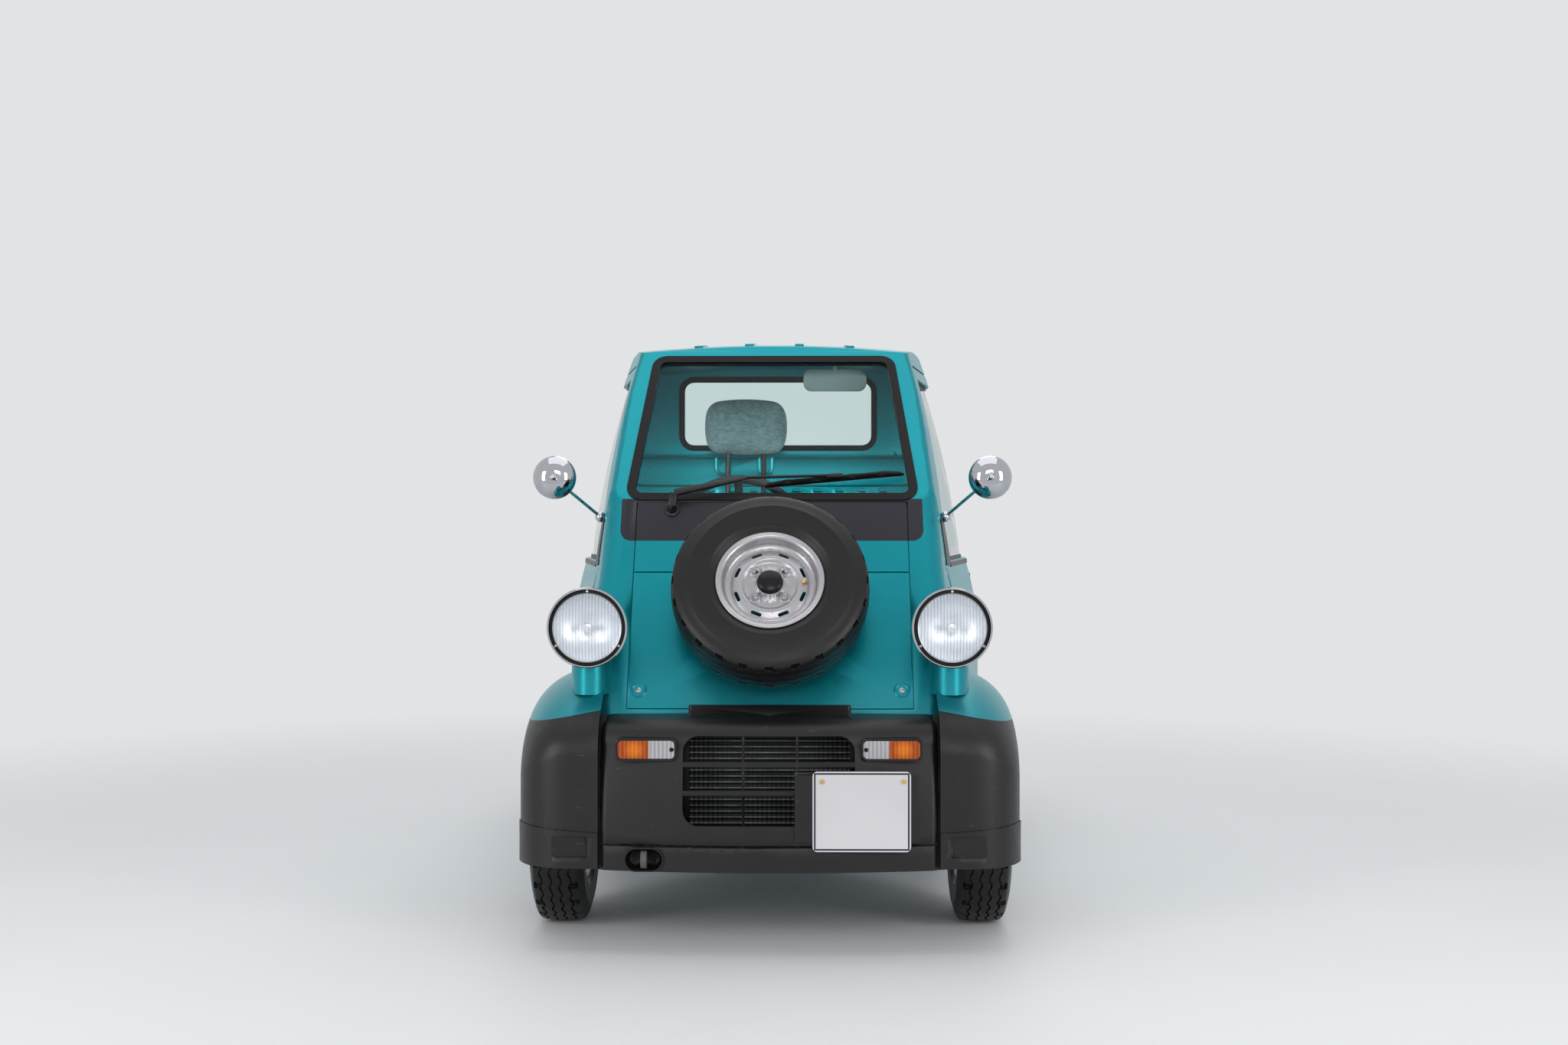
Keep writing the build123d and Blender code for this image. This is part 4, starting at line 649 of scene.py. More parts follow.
# %% [markdown]
# ## Tyres
# A tyre is the same section all the way round, so it is spun from that section about the axle. A torus
# would be too round: a real side wall has a bead, moulded rings and a shoulder. The tread has five ribs
# between four grooves. The grooves are in the section itself, which keeps them deep and clean.

# %% Section of the tyre and full spin
tyre_steps = 144
side_wall = (
    (0.1273, 0.0470), (0.1330, 0.0522), (0.1430, 0.0552), (0.1480, 0.0585), (0.1560, 0.0635),
    (0.1620, 0.0662), (0.1640, 0.0680), (0.1660, 0.0680), (0.1680, 0.0678), (0.1900, 0.0712),
    (0.2120, 0.0705), (0.2140, 0.0712), (0.2160, 0.0710), (0.2180, 0.0696), (0.2340, 0.0660),
    (0.2440, 0.0625), (0.2510, 0.0580),
)
tread_half = (
    (0.2545, 0.0540), (0.2568, 0.0405), (0.2510, 0.0395), (0.2510, 0.0365), (0.2574, 0.0355),
    (0.2594, 0.0150), (0.2535, 0.0140), (0.2535, 0.0110), (0.2597, 0.0100),
)


def full_spin(shape, outline, steps):
    """Spins an outline once round the x axis and joins its end to its start."""
    bmesh.ops.spin(
        shape, geom=outline, cent=(0, 0, 0), axis=(1, 0, 0), dvec=(0, 0, 0),
        angle=2 * pi, steps=steps, use_merge=True, use_duplicate=False,
    )


def plain_tyre():
    """A tyre round the x axis with straight grooves, from (radius, distance from the middle) corners."""
    half = side_wall + tread_half
    section = [(r, a) for r, a in half] + [(r, -a) for r, a in reversed(half)]
    shape = bmesh.new()
    corners = [shape.verts.new((a, 0, r)) for r, a in section]
    for first, second in zip(corners, corners[1:] + corners[:1]):
        shape.edges.new((first, second))
    full_spin(shape, shape.verts[:] + shape.edges[:], tyre_steps)
    bmesh.ops.remove_doubles(shape, verts=shape.verts, dist=sliver)
    bmesh.ops.recalc_face_normals(shape, faces=shape.faces)
    return shape


print("tyre section of", 2 * len(side_wall + tread_half), "corners")

# %% [markdown]
# ### Zigzag grooves and short cuts
# On the real tyre the grooves zigzag and short cuts cross the ribs and the shoulders, so that the tread
# grips in rain. Pushing the groove corners to and fro by turns makes the zigzag, and every few faces of
# the ribs are inset and sunk. Both change the spun mesh, so the tread stays one closed piece.

# %% Zigzag and cuts
tread_from = 0.2500
groove_zone = (0.009, 0.042)
zigzag_reach = 0.0028
shoulder_radii = (0.2515, 0.2570)
shoulder_zone = (0.0425, 0.0575)
rib_from = 0.2560
rib_zone = (0.0170, 0.0345)
cut_margin = 0.0013
cut_depth = 0.0045


def step_of(vertex):
    """Which of the spin's steps a corner belongs to."""
    return round(atan2(vertex.co.y, vertex.co.z) / (2 * pi) * tyre_steps) % tyre_steps


def from_axle(place):
    """The distance of a place from the axle."""
    return Vector((0, place.y, place.z)).length


def zigzag(shape):
    """Pushes the grooves to one side for two steps and to the other side for two."""
    for vertex in shape.verts:
        if from_axle(vertex.co) > tread_from and groove_zone[0] < abs(vertex.co.x) < groove_zone[1]:
            vertex.co.x += zigzag_reach if step_of(vertex) % 4 < 2 else -zigzag_reach


def cut_sipes(shape):
    """Sinks every third face of the shoulders and every fourth of the ribs, and counts the cuts."""
    chosen = []
    for face in shape.faces:
        middle = face.calc_center_median()
        radius, across = from_axle(middle), abs(middle.x)
        step = int(round((step_of(face.verts[0]) + step_of(face.verts[2])) / 2))
        at_shoulder_height = shoulder_radii[0] < radius < shoulder_radii[1]
        on_shoulder = at_shoulder_height and shoulder_zone[0] < across < shoulder_zone[1]
        on_rib = radius > rib_from and rib_zone[0] < across < rib_zone[1]
        if (on_shoulder and step % 3 == 0) or (on_rib and step % 4 == 1):
            chosen.append(face)
    bmesh.ops.inset_individual(
        shape, faces=chosen, thickness=cut_margin, depth=-cut_depth, use_even_offset=True
    )
    return len(chosen)


print("cuts", cut_depth, "m deep")

# %% [markdown]
# ### The five tyres
# Four tyres stand on the ground and the spare is bolted to the leaning nose. All five are alike, so one
# recipe is run at five places. A helper gives a frame at any place, with its x axis pointing outward,
# and every turned piece on the truck will use it too.


# %% Place the tyres
def facing(place, outward):
    """A frame at place whose local x axis points outward, with local z as far up as it can be."""
    outward = Vector(outward).normalized()
    side = Vector((0, 1, 0)) if abs(outward.x) > 0.5 else Vector((1, 0, 0))
    up = outward.cross(side).normalized()
    side = up.cross(outward).normalized()
    turn = Matrix((outward, side, up)).transposed().to_4x4()
    return Matrix.Translation(place) @ turn


nose_out = (0, -0.8616, 0.5075)
wheels = {
    "front_left": ((0.564, -0.929, 0.260), (1, 0, 0)),
    "front_right": ((-0.564, -0.929, 0.260), (-1, 0, 0)),
    "rear_left": ((0.555, 0.911, 0.260), (1, 0, 0)),
    "rear_right": ((-0.555, 0.911, 0.260), (-1, 0, 0)),
    "spare": ((0, -1.160, 0.909), nose_out),
}
for place, (centre, outward) in wheels.items():
    shape = plain_tyre()
    zigzag(shape)
    cuts = cut_sipes(shape)
    bmesh.ops.transform(shape, matrix=facing(centre, outward), verts=shape.verts)
    node = "tyre_" + place
    tyre = finish_shape(shape, node + "_tread", tyre_rubber, body_of_node[node], 32)
    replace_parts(tyre, node)
print("tyres", len(wheels), "with", cuts, "cuts each")

# %% [markdown]
# ## Turned pieces
# Nuts, screws, caps, lamp rings and rods are all turned on a lathe in the workshop, and here too. A
# cylinder with a bevel could stand for a screw, but an outline also gives it a domed head and a shoulder
# at once. The lathe adds to a shape that is being built, so many small pieces can share one mesh.


# %% Lathe and round rod
def lathe(shape, outline, steps, turn, closed=False):
    """Adds a solid turned about the local x axis from (distance along x, radius) corners."""
    old = set(shape.verts)
    corners = [shape.verts.new((along, 0, radius)) for along, radius in outline]
    edges = [shape.edges.new(pair) for pair in zip(corners, corners[1:])]
    if closed:
        edges.append(shape.edges.new((corners[-1], corners[0])))
    full_spin(shape, corners + edges, steps)
    bmesh.ops.remove_doubles(shape, verts=[v for v in shape.verts if v not in old], dist=sliver)
    new = [v for v in shape.verts if v not in old]
    bmesh.ops.recalc_face_normals(shape, faces=list({face for v in new for face in v.link_faces}))
    bmesh.ops.transform(shape, matrix=turn, verts=new)


def round_rod(shape, start, end, radius, steps=12):
    """Adds a round rod with slightly broken ends."""
    along = Vector(end) - Vector(start)
    reach = along.length
    edge = radius * 0.25
    foot = ((0, 0), (0, radius - edge), (edge, radius))
    head = ((reach - edge, radius), (reach, radius - edge), (reach, 0))
    lathe(shape, foot + head, steps, facing(start, along))


print("lathe ready")

# %% [markdown]
# ## Squared pieces
# Arms, latches and strips are bars with rounded edges. A cube stretched between two points gives the bar,
# and a bevel on all its edges gives it the small radius that catches the light. A sharp edge would look
# like paper. The far end can be made narrower, because pressed arms taper.


# %% Bar between two points
def bar(shape, start, end, width, depth, rounding, out=(0, -1, 0), taper=1.0):
    """Adds a block from start to end, depth thick along out and width wide, with its edges rounded."""
    old = set(shape.verts)
    along = Vector(end) - Vector(start)
    reach = along.length
    along.normalize()
    face = Vector(out)
    face = (face - along * along.dot(face)).normalized()
    turn = Matrix((along, face.cross(along), face)).transposed().to_4x4()
    bmesh.ops.create_cube(shape, size=1.0)
    new = [v for v in shape.verts if v not in old]
    for v in new:
        scale = taper if v.co.x > 0 else 1.0
        v.co = Vector((v.co.x * reach, v.co.y * width * scale, v.co.z * depth * scale))
    bmesh.ops.bevel(
        shape, geom=list({edge for v in new for edge in v.link_edges}), offset=rounding,
        offset_type="OFFSET", affect="EDGES", segments=2, profile=0.5, material=-1,
    )
    new = [v for v in shape.verts if v not in old]
    middle = Matrix.Translation((Vector(start) + Vector(end)) / 2)
    bmesh.ops.transform(shape, matrix=middle @ turn, verts=new)


print("bar ready")

# %% [markdown]
# ## Wheel nuts, hub caps and valves
# Each wheel is held by four nuts that sit on raised bosses round a black domed cap. The bosses are
# pressed from the same sheet as the disc, so they take the finish of the rim. A brass valve stands in
# the well of the rim, at three o'clock on the spare. All are turned from outlines that serve all five
# wheels, and the nuts will be spun in six steps, which makes them six-sided without any cutting.

# %% Outlines of bosses, nuts, caps and valves
nut_count = 4
nut_circle = 0.055
first_nut = 45
boss_outline = (
    (0.0240, 0.0), (0.0240, 0.0190), (0.0275, 0.0165), (0.0305, 0.0130), (0.0310, 0.0095), (0.0290, 0.0)
)
nut_outline = ((0.0285, 0.0), (0.0285, 0.0102), (0.0400, 0.0098), (0.0430, 0.0070), (0.0438, 0.0))
stud_outline = ((0.0430, 0.0), (0.0430, 0.0045), (0.0490, 0.0045), (0.0500, 0.0035), (0.0500, 0.0))
cap_outline = (
    (0.0390, 0.0), (0.0390, 0.0350), (0.0450, 0.0348), (0.0520, 0.0310), (0.0560, 0.0240), (0.0580, 0.0)
)
valve_outline = ((0.0, 0.0), (0.0, 0.0048), (0.018, 0.0038), (0.020, 0.0052), (0.031, 0.0050), (0.033, 0.0))
valve_stand = Matrix.Translation((0.016, 0.098, 0.004)) @ Matrix.Rotation(radians(-18), 4, "Z")
print("nuts", nut_count, "on a circle of", 2 * nut_circle, "m")

# %% [markdown]
# ### Dress each wheel
# The pieces of a wheel must turn with it. So they ride on the body of its rim, and they are four meshes a
# wheel, one for each finish: bosses, nuts, cap and valve. Copies of one object would be lighter, but a
# finished piece keeps its place in its own mesh.

# %% Four pieces for every wheel
for place, (centre, outward) in wheels.items():
    turn = facing(centre, outward)
    body = body_of_node["rim_" + place]
    bosses = bmesh.new()
    nuts = bmesh.new()
    for k in range(nut_count):
        angle = radians(first_nut + 360 / nut_count * k)
        spot = turn @ Matrix.Translation((0.0, nut_circle * cos(angle), nut_circle * sin(angle)))
        lathe(bosses, boss_outline, 20, spot)
        lathe(nuts, nut_outline, 6, spot)
        lathe(nuts, stud_outline, 12, spot)
    finish_shape(bosses, "bosses_" + place, rim_silver, body)
    finish_shape(nuts, "nuts_" + place, chrome, body)
    cap = bmesh.new()
    lathe(cap, cap_outline, 32, turn)
    finish_shape(cap, "hub_cap_" + place, cap_black, body)
    valve = bmesh.new()
    lathe(valve, valve_outline, 12, turn @ valve_stand)
    finish_shape(valve, "valve_" + place, brass, body)
print("wheels dressed", len(wheels))

# %% [markdown]
# ## Headlamp shells
# A headlamp sits in a painted shell with an open front. The shell comes as a solid, so there is no room
# for the bowl. A second solid could be cut away with a boolean, but that leaves long thin triangles.
# Instead the front disc is made one face again, inset by the wall, and sunk step by step while it shrinks.

# %% Painted shells with a sunk front
lamp_x = 0.468
lamp_z = 0.816
lamp_front_y = -1.266
shell_face_y = lamp_front_y + 0.012
shell_wall = 0.008
flat_enough = 0.0004
sinking = ((0.040, 0.86), (0.025, 0.60))
shape = merged_copy("headlight_shells")
for side in (-1, 1):
    disc = [
        face for face in shape.faces
        if all(abs(v.co.y - shell_face_y) < flat_enough for v in face.verts)
        and face.calc_center_median().x * side > 0
    ]
    face = bmesh.ops.dissolve_faces(shape, faces=disc, use_verts=True)["region"][0]
    bmesh.ops.inset_individual(shape, faces=[face], thickness=shell_wall, use_even_offset=True)
    for inward, scale in sinking:
        face = bmesh.ops.extrude_discrete_faces(shape, faces=[face])["faces"][0]
        bmesh.ops.translate(shape, verts=face.verts, vec=(0, inward, 0))
        centre = Matrix.Translation((-side * lamp_x, 0, -lamp_z))
        bmesh.ops.scale(shape, verts=face.verts, vec=(scale, 1, scale), space=centre)
shells = finish_shape(shape, "headlamp_shells", paint, "truck")
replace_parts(shells, "headlight_shells")
print("shells", len(shells.data.polygons), "faces")

# %% [markdown]
# ## Headlamp optics
# A headlamp is a fluted glass dome over a mirror bowl, with a shield in front of its bulb. A pale ring holds
# the glass, a black ring of painted shade lies in the gap round it, a chrome rim closes the shell, and three
# small screws sit in the gap. A flat disc with a lamp texture would look painted on from the side. Turned
# from their sections, the pieces bend and mirror the light as the real optics do.

# %% Outlines of the optics
rim_outline = (
    (-0.0250, 0.1005), (-0.0250, 0.1040), (-0.0040, 0.1040), (0.0010, 0.1034), (0.0028, 0.1010),
    (0.0024, 0.0985), (-0.0020, 0.0968), (-0.0100, 0.0965),
)
# painted shade: a black ring set back in the gap between the rim and the holder
gap_shade_outline = ((-0.0110, 0.0968), (-0.0070, 0.0968), (-0.0065, 0.0893), (-0.0110, 0.0893))
holder_outline = (
    (-0.0110, 0.0896), (0.0002, 0.0894), (0.0018, 0.0882), (0.0012, 0.0866), (-0.0040, 0.0856),
    (-0.0110, 0.0856),
)
glass_outline = (
    (0.0118, 0.0), (0.0104, 0.030), (0.0070, 0.058), (0.0004, 0.0840), (-0.0020, 0.0858),
    (-0.0050, 0.0858), (-0.0040, 0.0830), (0.0038, 0.057), (0.0074, 0.030), (0.0088, 0.0),
)
bowl_outline = (
    (-0.0560, 0.0), (-0.0560, 0.0160), (-0.0520, 0.0340), (-0.0400, 0.0570), (-0.0220, 0.0760),
    (-0.0060, 0.0852), (-0.0060, 0.0862), (-0.0240, 0.0780), (-0.0420, 0.0590), (-0.0545, 0.0350),
    (-0.0590, 0.0),
)
shield_outline = ((-0.0250, 0.0), (-0.0250, 0.0120), (-0.0130, 0.0125), (-0.0095, 0.0100), (-0.0080, 0.0))
stem_outline = ((-0.0560, 0.0), (-0.0560, 0.0080), (-0.0250, 0.0060), (-0.0240, 0.0))
screw_outline = ((-0.0068, 0.0), (-0.0068, 0.0034), (-0.0050, 0.0032), (-0.0044, 0.0018), (-0.0052, 0.0))
print("bowl", round(bowl_outline[5][0] - bowl_outline[0][0], 3), "m deep")

# %% [markdown]
# ### Optics at both lamps
# The bowl is coated with bright metal that scatters a little, so it glows rather than mirrors. Each kind
# of piece is one mesh for both lamps, because the two always move together. Rings are closed outlines
# and stay open in the middle; the glass and the bowl start and end on the axis, which closes them.

# %% Rims, lenses and bowls
mirror_silver = grained(
    "mirror_silver", (0.74, 0.76, 0.79), 0.34, 30, 0.0006, metallic=0.9, variation=0.10
)
ring_silver = grained("ring_silver", (0.42, 0.43, 0.43), 0.30, 300, 0.0002, metallic=0.7, variation=0.05)
bowl_outlines = (bowl_outline, shield_outline, stem_outline)
lamp_pieces = (
    ("headlamp_rims", chrome, "chrome_trim", (rim_outline,), True, 96),
    # the black ring in the gap is painted shade
    ("headlamp_gap_shade", cap_black, "dark_trim", (gap_shade_outline,), True, 96),
    ("headlamp_holders", ring_silver, "chrome_trim", (holder_outline,), True, 96),
    ("headlamp_glass", lamp_glass, "lens_glass", (glass_outline,), False, 64),
    ("headlamp_bowls", mirror_silver, "chrome_trim", bowl_outlines, False, 64),
)
stands_for = {"headlamp_rims": "headlight_rings", "headlamp_glass": "headlight_lenses"}
straight_ahead = (0, -1, 0)
lamp_spots = [facing((side * lamp_x, lamp_front_y, lamp_z), straight_ahead) for side in (-1, 1)]
for name, material, slot, outlines, closed, steps in lamp_pieces:
    shape = bmesh.new()
    for spot in lamp_spots:
        for outline in outlines:
            lathe(shape, outline, steps, spot, closed)
    piece = finish_shape(shape, name, material, "truck", 40)
    if name in stands_for:
        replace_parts(piece, stands_for[name])
print("headlamps", len(lamp_pieces), "kinds of piece at", len(lamp_spots), "lamps")

# %% [markdown]
# ### Screws of the lamps
# Three small screws sit in the gap of each lamp, on its black ring of painted shade, one at the top and two
# below. They are placed by their angles on a circle, because a third of a turn is easier to read than two
# coordinates each.

# %% Three screws a lamp
screw_circle = 0.093
screw_angles = (90, 210, 330)
shape = bmesh.new()
for spot in lamp_spots:
    for angle in screw_angles:
        around = (0, screw_circle * cos(radians(angle)), screw_circle * sin(radians(angle)))
        lathe(shape, screw_outline, 12, spot @ Matrix.Translation(around))
finish_shape(shape, "headlamp_screws", bright_steel, "truck")
print("lamp screws", len(screw_angles) * len(lamp_spots))

# %% [markdown]
# ## Turn signals
# Each front signal is one moulded lens, amber on its outer part and clear on the inner part, with fine
# upright ribs and a dark rim. The ribs are drawn as stripes of painted light and shade, and a painted glint
# lightens the amber where the bulb sits behind it. Separate solids for the colours could be set side by
# side. But the colours meet in one moulding, so one finish carries them and changes at measured distances
# from the middle of the truck.

# %% Ribs, rim and painted bulb glint of the signals
signal_split_x = 0.302
signal_middle_x = 0.308
signal_middle_z = 0.516
signal_core = (0.0600, 0.0115)
signal_rim_from = 0.0108
signal_rib_rate = 620.0
bulb_x = 0.338
signal_rim = (0.010, 0.008, 0.008)
signal_lens, signal_shader = finish_named("signal_lens", (0.5, 0.08, 0.003), 0.14, 0.0, 0.15, 0.05, 0.3)
signal_place = axes_of(signal_lens)
signal_across = math_node(signal_lens, "ABSOLUTE", signal_place["X"])
signal_ribs = waves(signal_lens, signal_place["X"], signal_rib_rate)
past_core = [
    math_node(signal_lens, "MAXIMUM", past_strip(signal_lens, place, middle, half), 0.0)
    for place, middle, half in (
        (signal_across, signal_middle_x, signal_core[0]),
        (signal_place["Z"], signal_middle_z, signal_core[1]),
    )
]
on_rim = math_node(signal_lens, "GREATER_THAN", straight_reach(signal_lens, *past_core), signal_rim_from)
to_bulb = straight_reach(
    signal_lens,
    math_node(signal_lens, "SUBTRACT", signal_across, bulb_x),
    math_node(signal_lens, "SUBTRACT", signal_place["Z"], signal_middle_z),
)
# painted glint: the amber is lighter round the spot where the bulb sits behind the lens
painted_bulb_glint = ramp(signal_lens, to_bulb, 0.009, 0.028, 0.55, 0.0)
print("signal ribs every", round(2 * pi / signal_rib_rate, 4), "m")

# %% [markdown]
# ### Colours of the signals
# Each colour is itself a blend of a dark and a light tone, and the ribs lead from one to the other as
# stripes of painted light and shade, where the lens is thick and thin by turns and bends the light. One flat
# orange would look like paint. The split between amber and clear comes after the blends, and the dark rim
# lies over both.

# %% Amber, clear and rim
# painted light and shade: the ribs and the bulb glint make the amber lighter and darker by turns
painted_amber_light = math_node(signal_lens, "ADD", ramp(signal_lens, signal_ribs, 0.0, 1.0, 0.10, 0.38), painted_bulb_glint)
amber = two_colours(signal_lens, painted_amber_light, (0.26, 0.026, 0.001), (0.85, 0.22, 0.010))
# painted light and shade: the ribs make the clear part lighter and darker by turns
painted_clear_light = ramp(signal_lens, signal_ribs, 0.0, 1.0, 0.3, 0.8)
clear = two_colours(signal_lens, painted_clear_light, (0.24, 0.24, 0.25), (0.58, 0.58, 0.60))
outer_part = math_node(signal_lens, "GREATER_THAN", signal_across, signal_split_x)
signal_colour = two_colours(signal_lens, outer_part, clear, amber)
signal_colour = two_colours(signal_lens, on_rim, signal_colour, signal_rim)
connect(signal_lens, signal_colour, signal_shader, "Base Color")
bumped(signal_lens, signal_shader, signal_ribs, 0.3, 0.001)
print("signal lens changes colour at", signal_split_x, "m")

# %% [markdown]
# ## Tail lamps
# The tail lamps are red in the middle, amber outside and clear inside, under finer ribs than those of the
# signals. They are made in the same way, from two changes of colour. A small black screw holds each
# front signal at its inner end, and it is turned on the lathe.

# %% Tail lens finish and both pairs of lamps
tail_inner_x = 0.444
tail_outer_x = 0.515
tail_rib_rate = 1100.0
tail_red = (0.42, 0.008, 0.008)
tail_lens, tail_shader = finish_named("tail_lens", tail_red, 0.14, 0.0, 0.6, 0.05)
tail_place = axes_of(tail_lens)
tail_across = math_node(tail_lens, "ABSOLUTE", tail_place["X"])
tail_inner = math_node(tail_lens, "LESS_THAN", tail_across, tail_inner_x)
tail_outer = math_node(tail_lens, "GREATER_THAN", tail_across, tail_outer_x)
tail_colour = two_colours(tail_lens, tail_inner, tail_red, (0.55, 0.55, 0.56))
tail_colour = two_colours(tail_lens, tail_outer, tail_colour, (0.70, 0.16, 0.01))
connect(tail_lens, tail_colour, tail_shader, "Base Color")
bumped(tail_lens, tail_shader, waves(tail_lens, tail_place["X"], tail_rib_rate), 0.4, 0.001)
smooth_skin("turn_signals", signal_lens)
smooth_skin("tail_lamps", tail_lens)
lens_screw = ((0, 0), (0, 0.0056), (0.0014, 0.0050), (0.0018, 0.0))
shape = bmesh.new()
for side in (-1, 1):
    lathe(shape, lens_screw, 16, facing((side * 0.244, -1.365, signal_middle_z), straight_ahead))
finish_shape(shape, "signal_screws", cap_black, "truck")
print("signals and tail lamps", signal_lens.name, tail_lens.name)

# %% [markdown]
# ## Plate finish
# The plate is a blank pressed sheet, enamelled pale. A thin dark line of painted shade runs along its
# border, over the step where the rim is pressed. The line could be a thin frame of its own, but painted
# shade has no thickness. The finish draws it where the distance to the nearest edge is right, which also
# keeps it evenly wide.

# %% Pale enamel with a border line of painted shade
plate_x, plate_z = 0.232, 0.366
plate_half = (0.1225, 0.1000)
line_outside, line_inside = -0.0034, -0.0078
enamel = (0.66, 0.65, 0.675)
enamel_shade = (0.60, 0.59, 0.61)
# painted shade: the dark colour of the line over the step of the pressed rim
rim_step_shade = (0.03, 0.03, 0.05)
plate_white, plate_shader = finish_named("plate_white", enamel, 0.42, shine=0.3)
plate_place = axes_of(plate_white)
past_x = past_strip(plate_white, plate_place["X"], plate_x, plate_half[0])
past_z = past_strip(plate_white, plate_place["Z"], plate_z, plate_half[1])
to_edge = math_node(plate_white, "MAXIMUM", past_x, past_z)
in_line = math_node(plate_white, "GREATER_THAN", to_edge, line_inside)
out_line = math_node(plate_white, "LESS_THAN", to_edge, line_outside)
# painted shade: the line over the step of the pressed rim
border = math_node(plate_white, "MULTIPLY", in_line, out_line)
plate_colour = two_colours(plate_white, clouds(plate_white, 12, 5), enamel, enamel_shade)
plate_colour = two_colours(plate_white, border, plate_colour, rim_step_shade)
connect(plate_white, plate_colour, plate_shader, "Base Color")
plate_gloss = ramp(plate_white, clouds(plate_white, 30, 4), 0.0, 1.0, 0.36, 0.48)
connect(plate_white, plate_gloss, plate_shader, "Roughness")
print("border line", round(line_outside - line_inside, 4), "m wide")

# %% [markdown]
# ## Plate
# A real plate is stiffened by a rim that is pressed up round it. A frame laid on a flat sheet would show
# a seam. Instead, the front of the solid is made one face again, inset once for the flat rim and once
# more while it is sunk by just under a millimetre, which leaves the rim standing. Two brass screws hold it.

# %% Pressed plate and its screws
plate = merged_copy("front_plate")
front_faces = [face for face in plate.faces if face.normal.y < -0.9]
front = bmesh.ops.dissolve_faces(plate, faces=front_faces, use_verts=False)["region"][0]
bmesh.ops.inset_individual(plate, faces=[front], thickness=0.0045, use_even_offset=True)
bmesh.ops.inset_individual(plate, faces=[front], thickness=0.0016, depth=-0.0009, use_even_offset=True)
pressed_plate = finish_shape(
    plate, "front_plate_skin", plate_white, "truck", 20
)
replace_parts(pressed_plate, "front_plate")
plate_screw = ((-0.001, 0), (-0.001, 0.0062), (0.0022, 0.0058), (0.0032, 0.0))
shape = bmesh.new()
for from_middle in (-0.098, 0.104):
    lathe(shape, plate_screw, 16, facing((plate_x + from_middle, -1.3975, 0.441), straight_ahead))
finish_shape(shape, "plate_screws", brass, "truck")
print("plate", len(pressed_plate.data.polygons), "faces")

# %% [markdown]
# ## Screws of the nose
# The lower nose panel is held by a screw in a pressed dimple at each bottom corner. The nose leans, so
# each place is given by how far across and how high it is, and a helper finds the depth and the direction
# there. That saves measuring three numbers for every screw.

# %% Nose screws in their dimples
nose_screw_x = 0.344
nose_screw_z = 0.648
nose_foot_y = -1.202
nose_foot_z = 0.601
nose_lean = 0.589


def on_nose(x, z):
    """A frame on the leaning face of the nose, with local x pointing out of it."""
    return facing((x, nose_foot_y + (z - nose_foot_z) * nose_lean, z), nose_out)


dimple_outline = (
    (0.0002, 0.0), (0.0002, 0.0120), (0.0006, 0.0150), (0.0024, 0.0172), (0.0024, 0.0190),
    (0.0002, 0.0215), (-0.001, 0.0215), (-0.001, 0.0),
)
screw_head = ((0.0, 0.0), (0.0, 0.0075), (0.0016, 0.0070), (0.0022, 0.0030), (0.0010, 0.0022), (0.0010, 0.0))
dimples = bmesh.new()
screws = bmesh.new()
for side in (-1, 1):
    spot = on_nose(side * nose_screw_x, nose_screw_z)
    lathe(dimples, dimple_outline, 32, spot)
    lathe(screws, screw_head, 20, spot)
finish_shape(dimples, "nose_dimples", paint, "truck")
finish_shape(screws, "nose_screws", bright_steel, "truck")
print("nose screws at", [round(value, 3) for value in spot.translation])

# %% [markdown]
# ## Tow opening
# Low in the bumper is an opening shaped like a pill, and the tow eye stands in it. Without a lining the
# eye would float in front of a hole. The lining is a dish: a circle is drawn apart into the pill, its rim
# is extruded inward and made smaller three times, the last ring is filled, and the sheet gets a
# thickness.

# %% Dish behind the tow eye
tow_x, tow_y, tow_z = -0.313, -1.380, 0.242
pill_radius = 0.027
pill_stretch = 0.0195
dish_steps = ((0.020, 0.96), (0.018, 0.84), (0.008, 0.55))
dish_wall = 0.003
recess = bmesh.new()
bmesh.ops.create_circle(recess, cap_ends=False, segments=48, radius=pill_radius)
for v in recess.verts:
    v.co = Vector((v.co.x + (pill_stretch if v.co.x > 0 else -pill_stretch), 0, v.co.y))
bmesh.ops.translate(recess, verts=recess.verts, vec=(tow_x, tow_y, tow_z))
ring = recess.edges[:]
for inward, scale in dish_steps:
    made = bmesh.ops.extrude_edge_only(recess, edges=ring)["geom"]
    ring = [item for item in made if isinstance(item, bmesh.types.BMEdge)]
    corners = list({v for edge in ring for v in edge.verts})
    bmesh.ops.translate(recess, verts=corners, vec=(0, inward, 0))
    about = Matrix.Translation((-tow_x, 0, -tow_z))
    bmesh.ops.scale(recess, verts=corners, vec=(scale, 1, scale), space=about)
bmesh.ops.holes_fill(recess, edges=ring)
bmesh.ops.recalc_face_normals(recess, faces=recess.faces)
bmesh.ops.reverse_faces(recess, faces=recess.faces)
bmesh.ops.solidify(recess, geom=recess.faces[:], thickness=dish_wall)
bmesh.ops.recalc_face_normals(recess, faces=recess.faces)
finish_shape(recess, "tow_recess", black_plastic, "truck", 40)
print("tow opening", round(sum(inward for inward, scale in dish_steps), 3), "m deep")

# %% [markdown]
# ## Washer nozzle
# A small nozzle stands at the top of the grey strip, in the middle, and sprays the windshield. It has a
# foot, a shoulder and a thin neck, so it is turned on the lathe like the screws, square to the nose.

# %% Nozzle
nozzle_z = 1.131
nozzle_outline = (
    (-0.002, 0.0), (-0.002, 0.0085), (0.006, 0.0080), (0.008, 0.0055), (0.020, 0.0050), (0.022, 0.0)
)
nozzle = bmesh.new()
lathe(nozzle, nozzle_outline, 20, on_nose(0.0, nozzle_z))
finish_shape(nozzle, "washer_nozzle", cap_black, "truck")
print("nozzle at a height of", nozzle_z, "m")

# %% [markdown]
# ## Seam strips
# The bumper and each flare meet in an upright seam. Seen from the front, daylight would shine through it,
# and on the real truck a rubber strip closes it from behind. A single straight bar would stand off the
# curved bumper, so the strip is a chain of short bars that follow its curve.

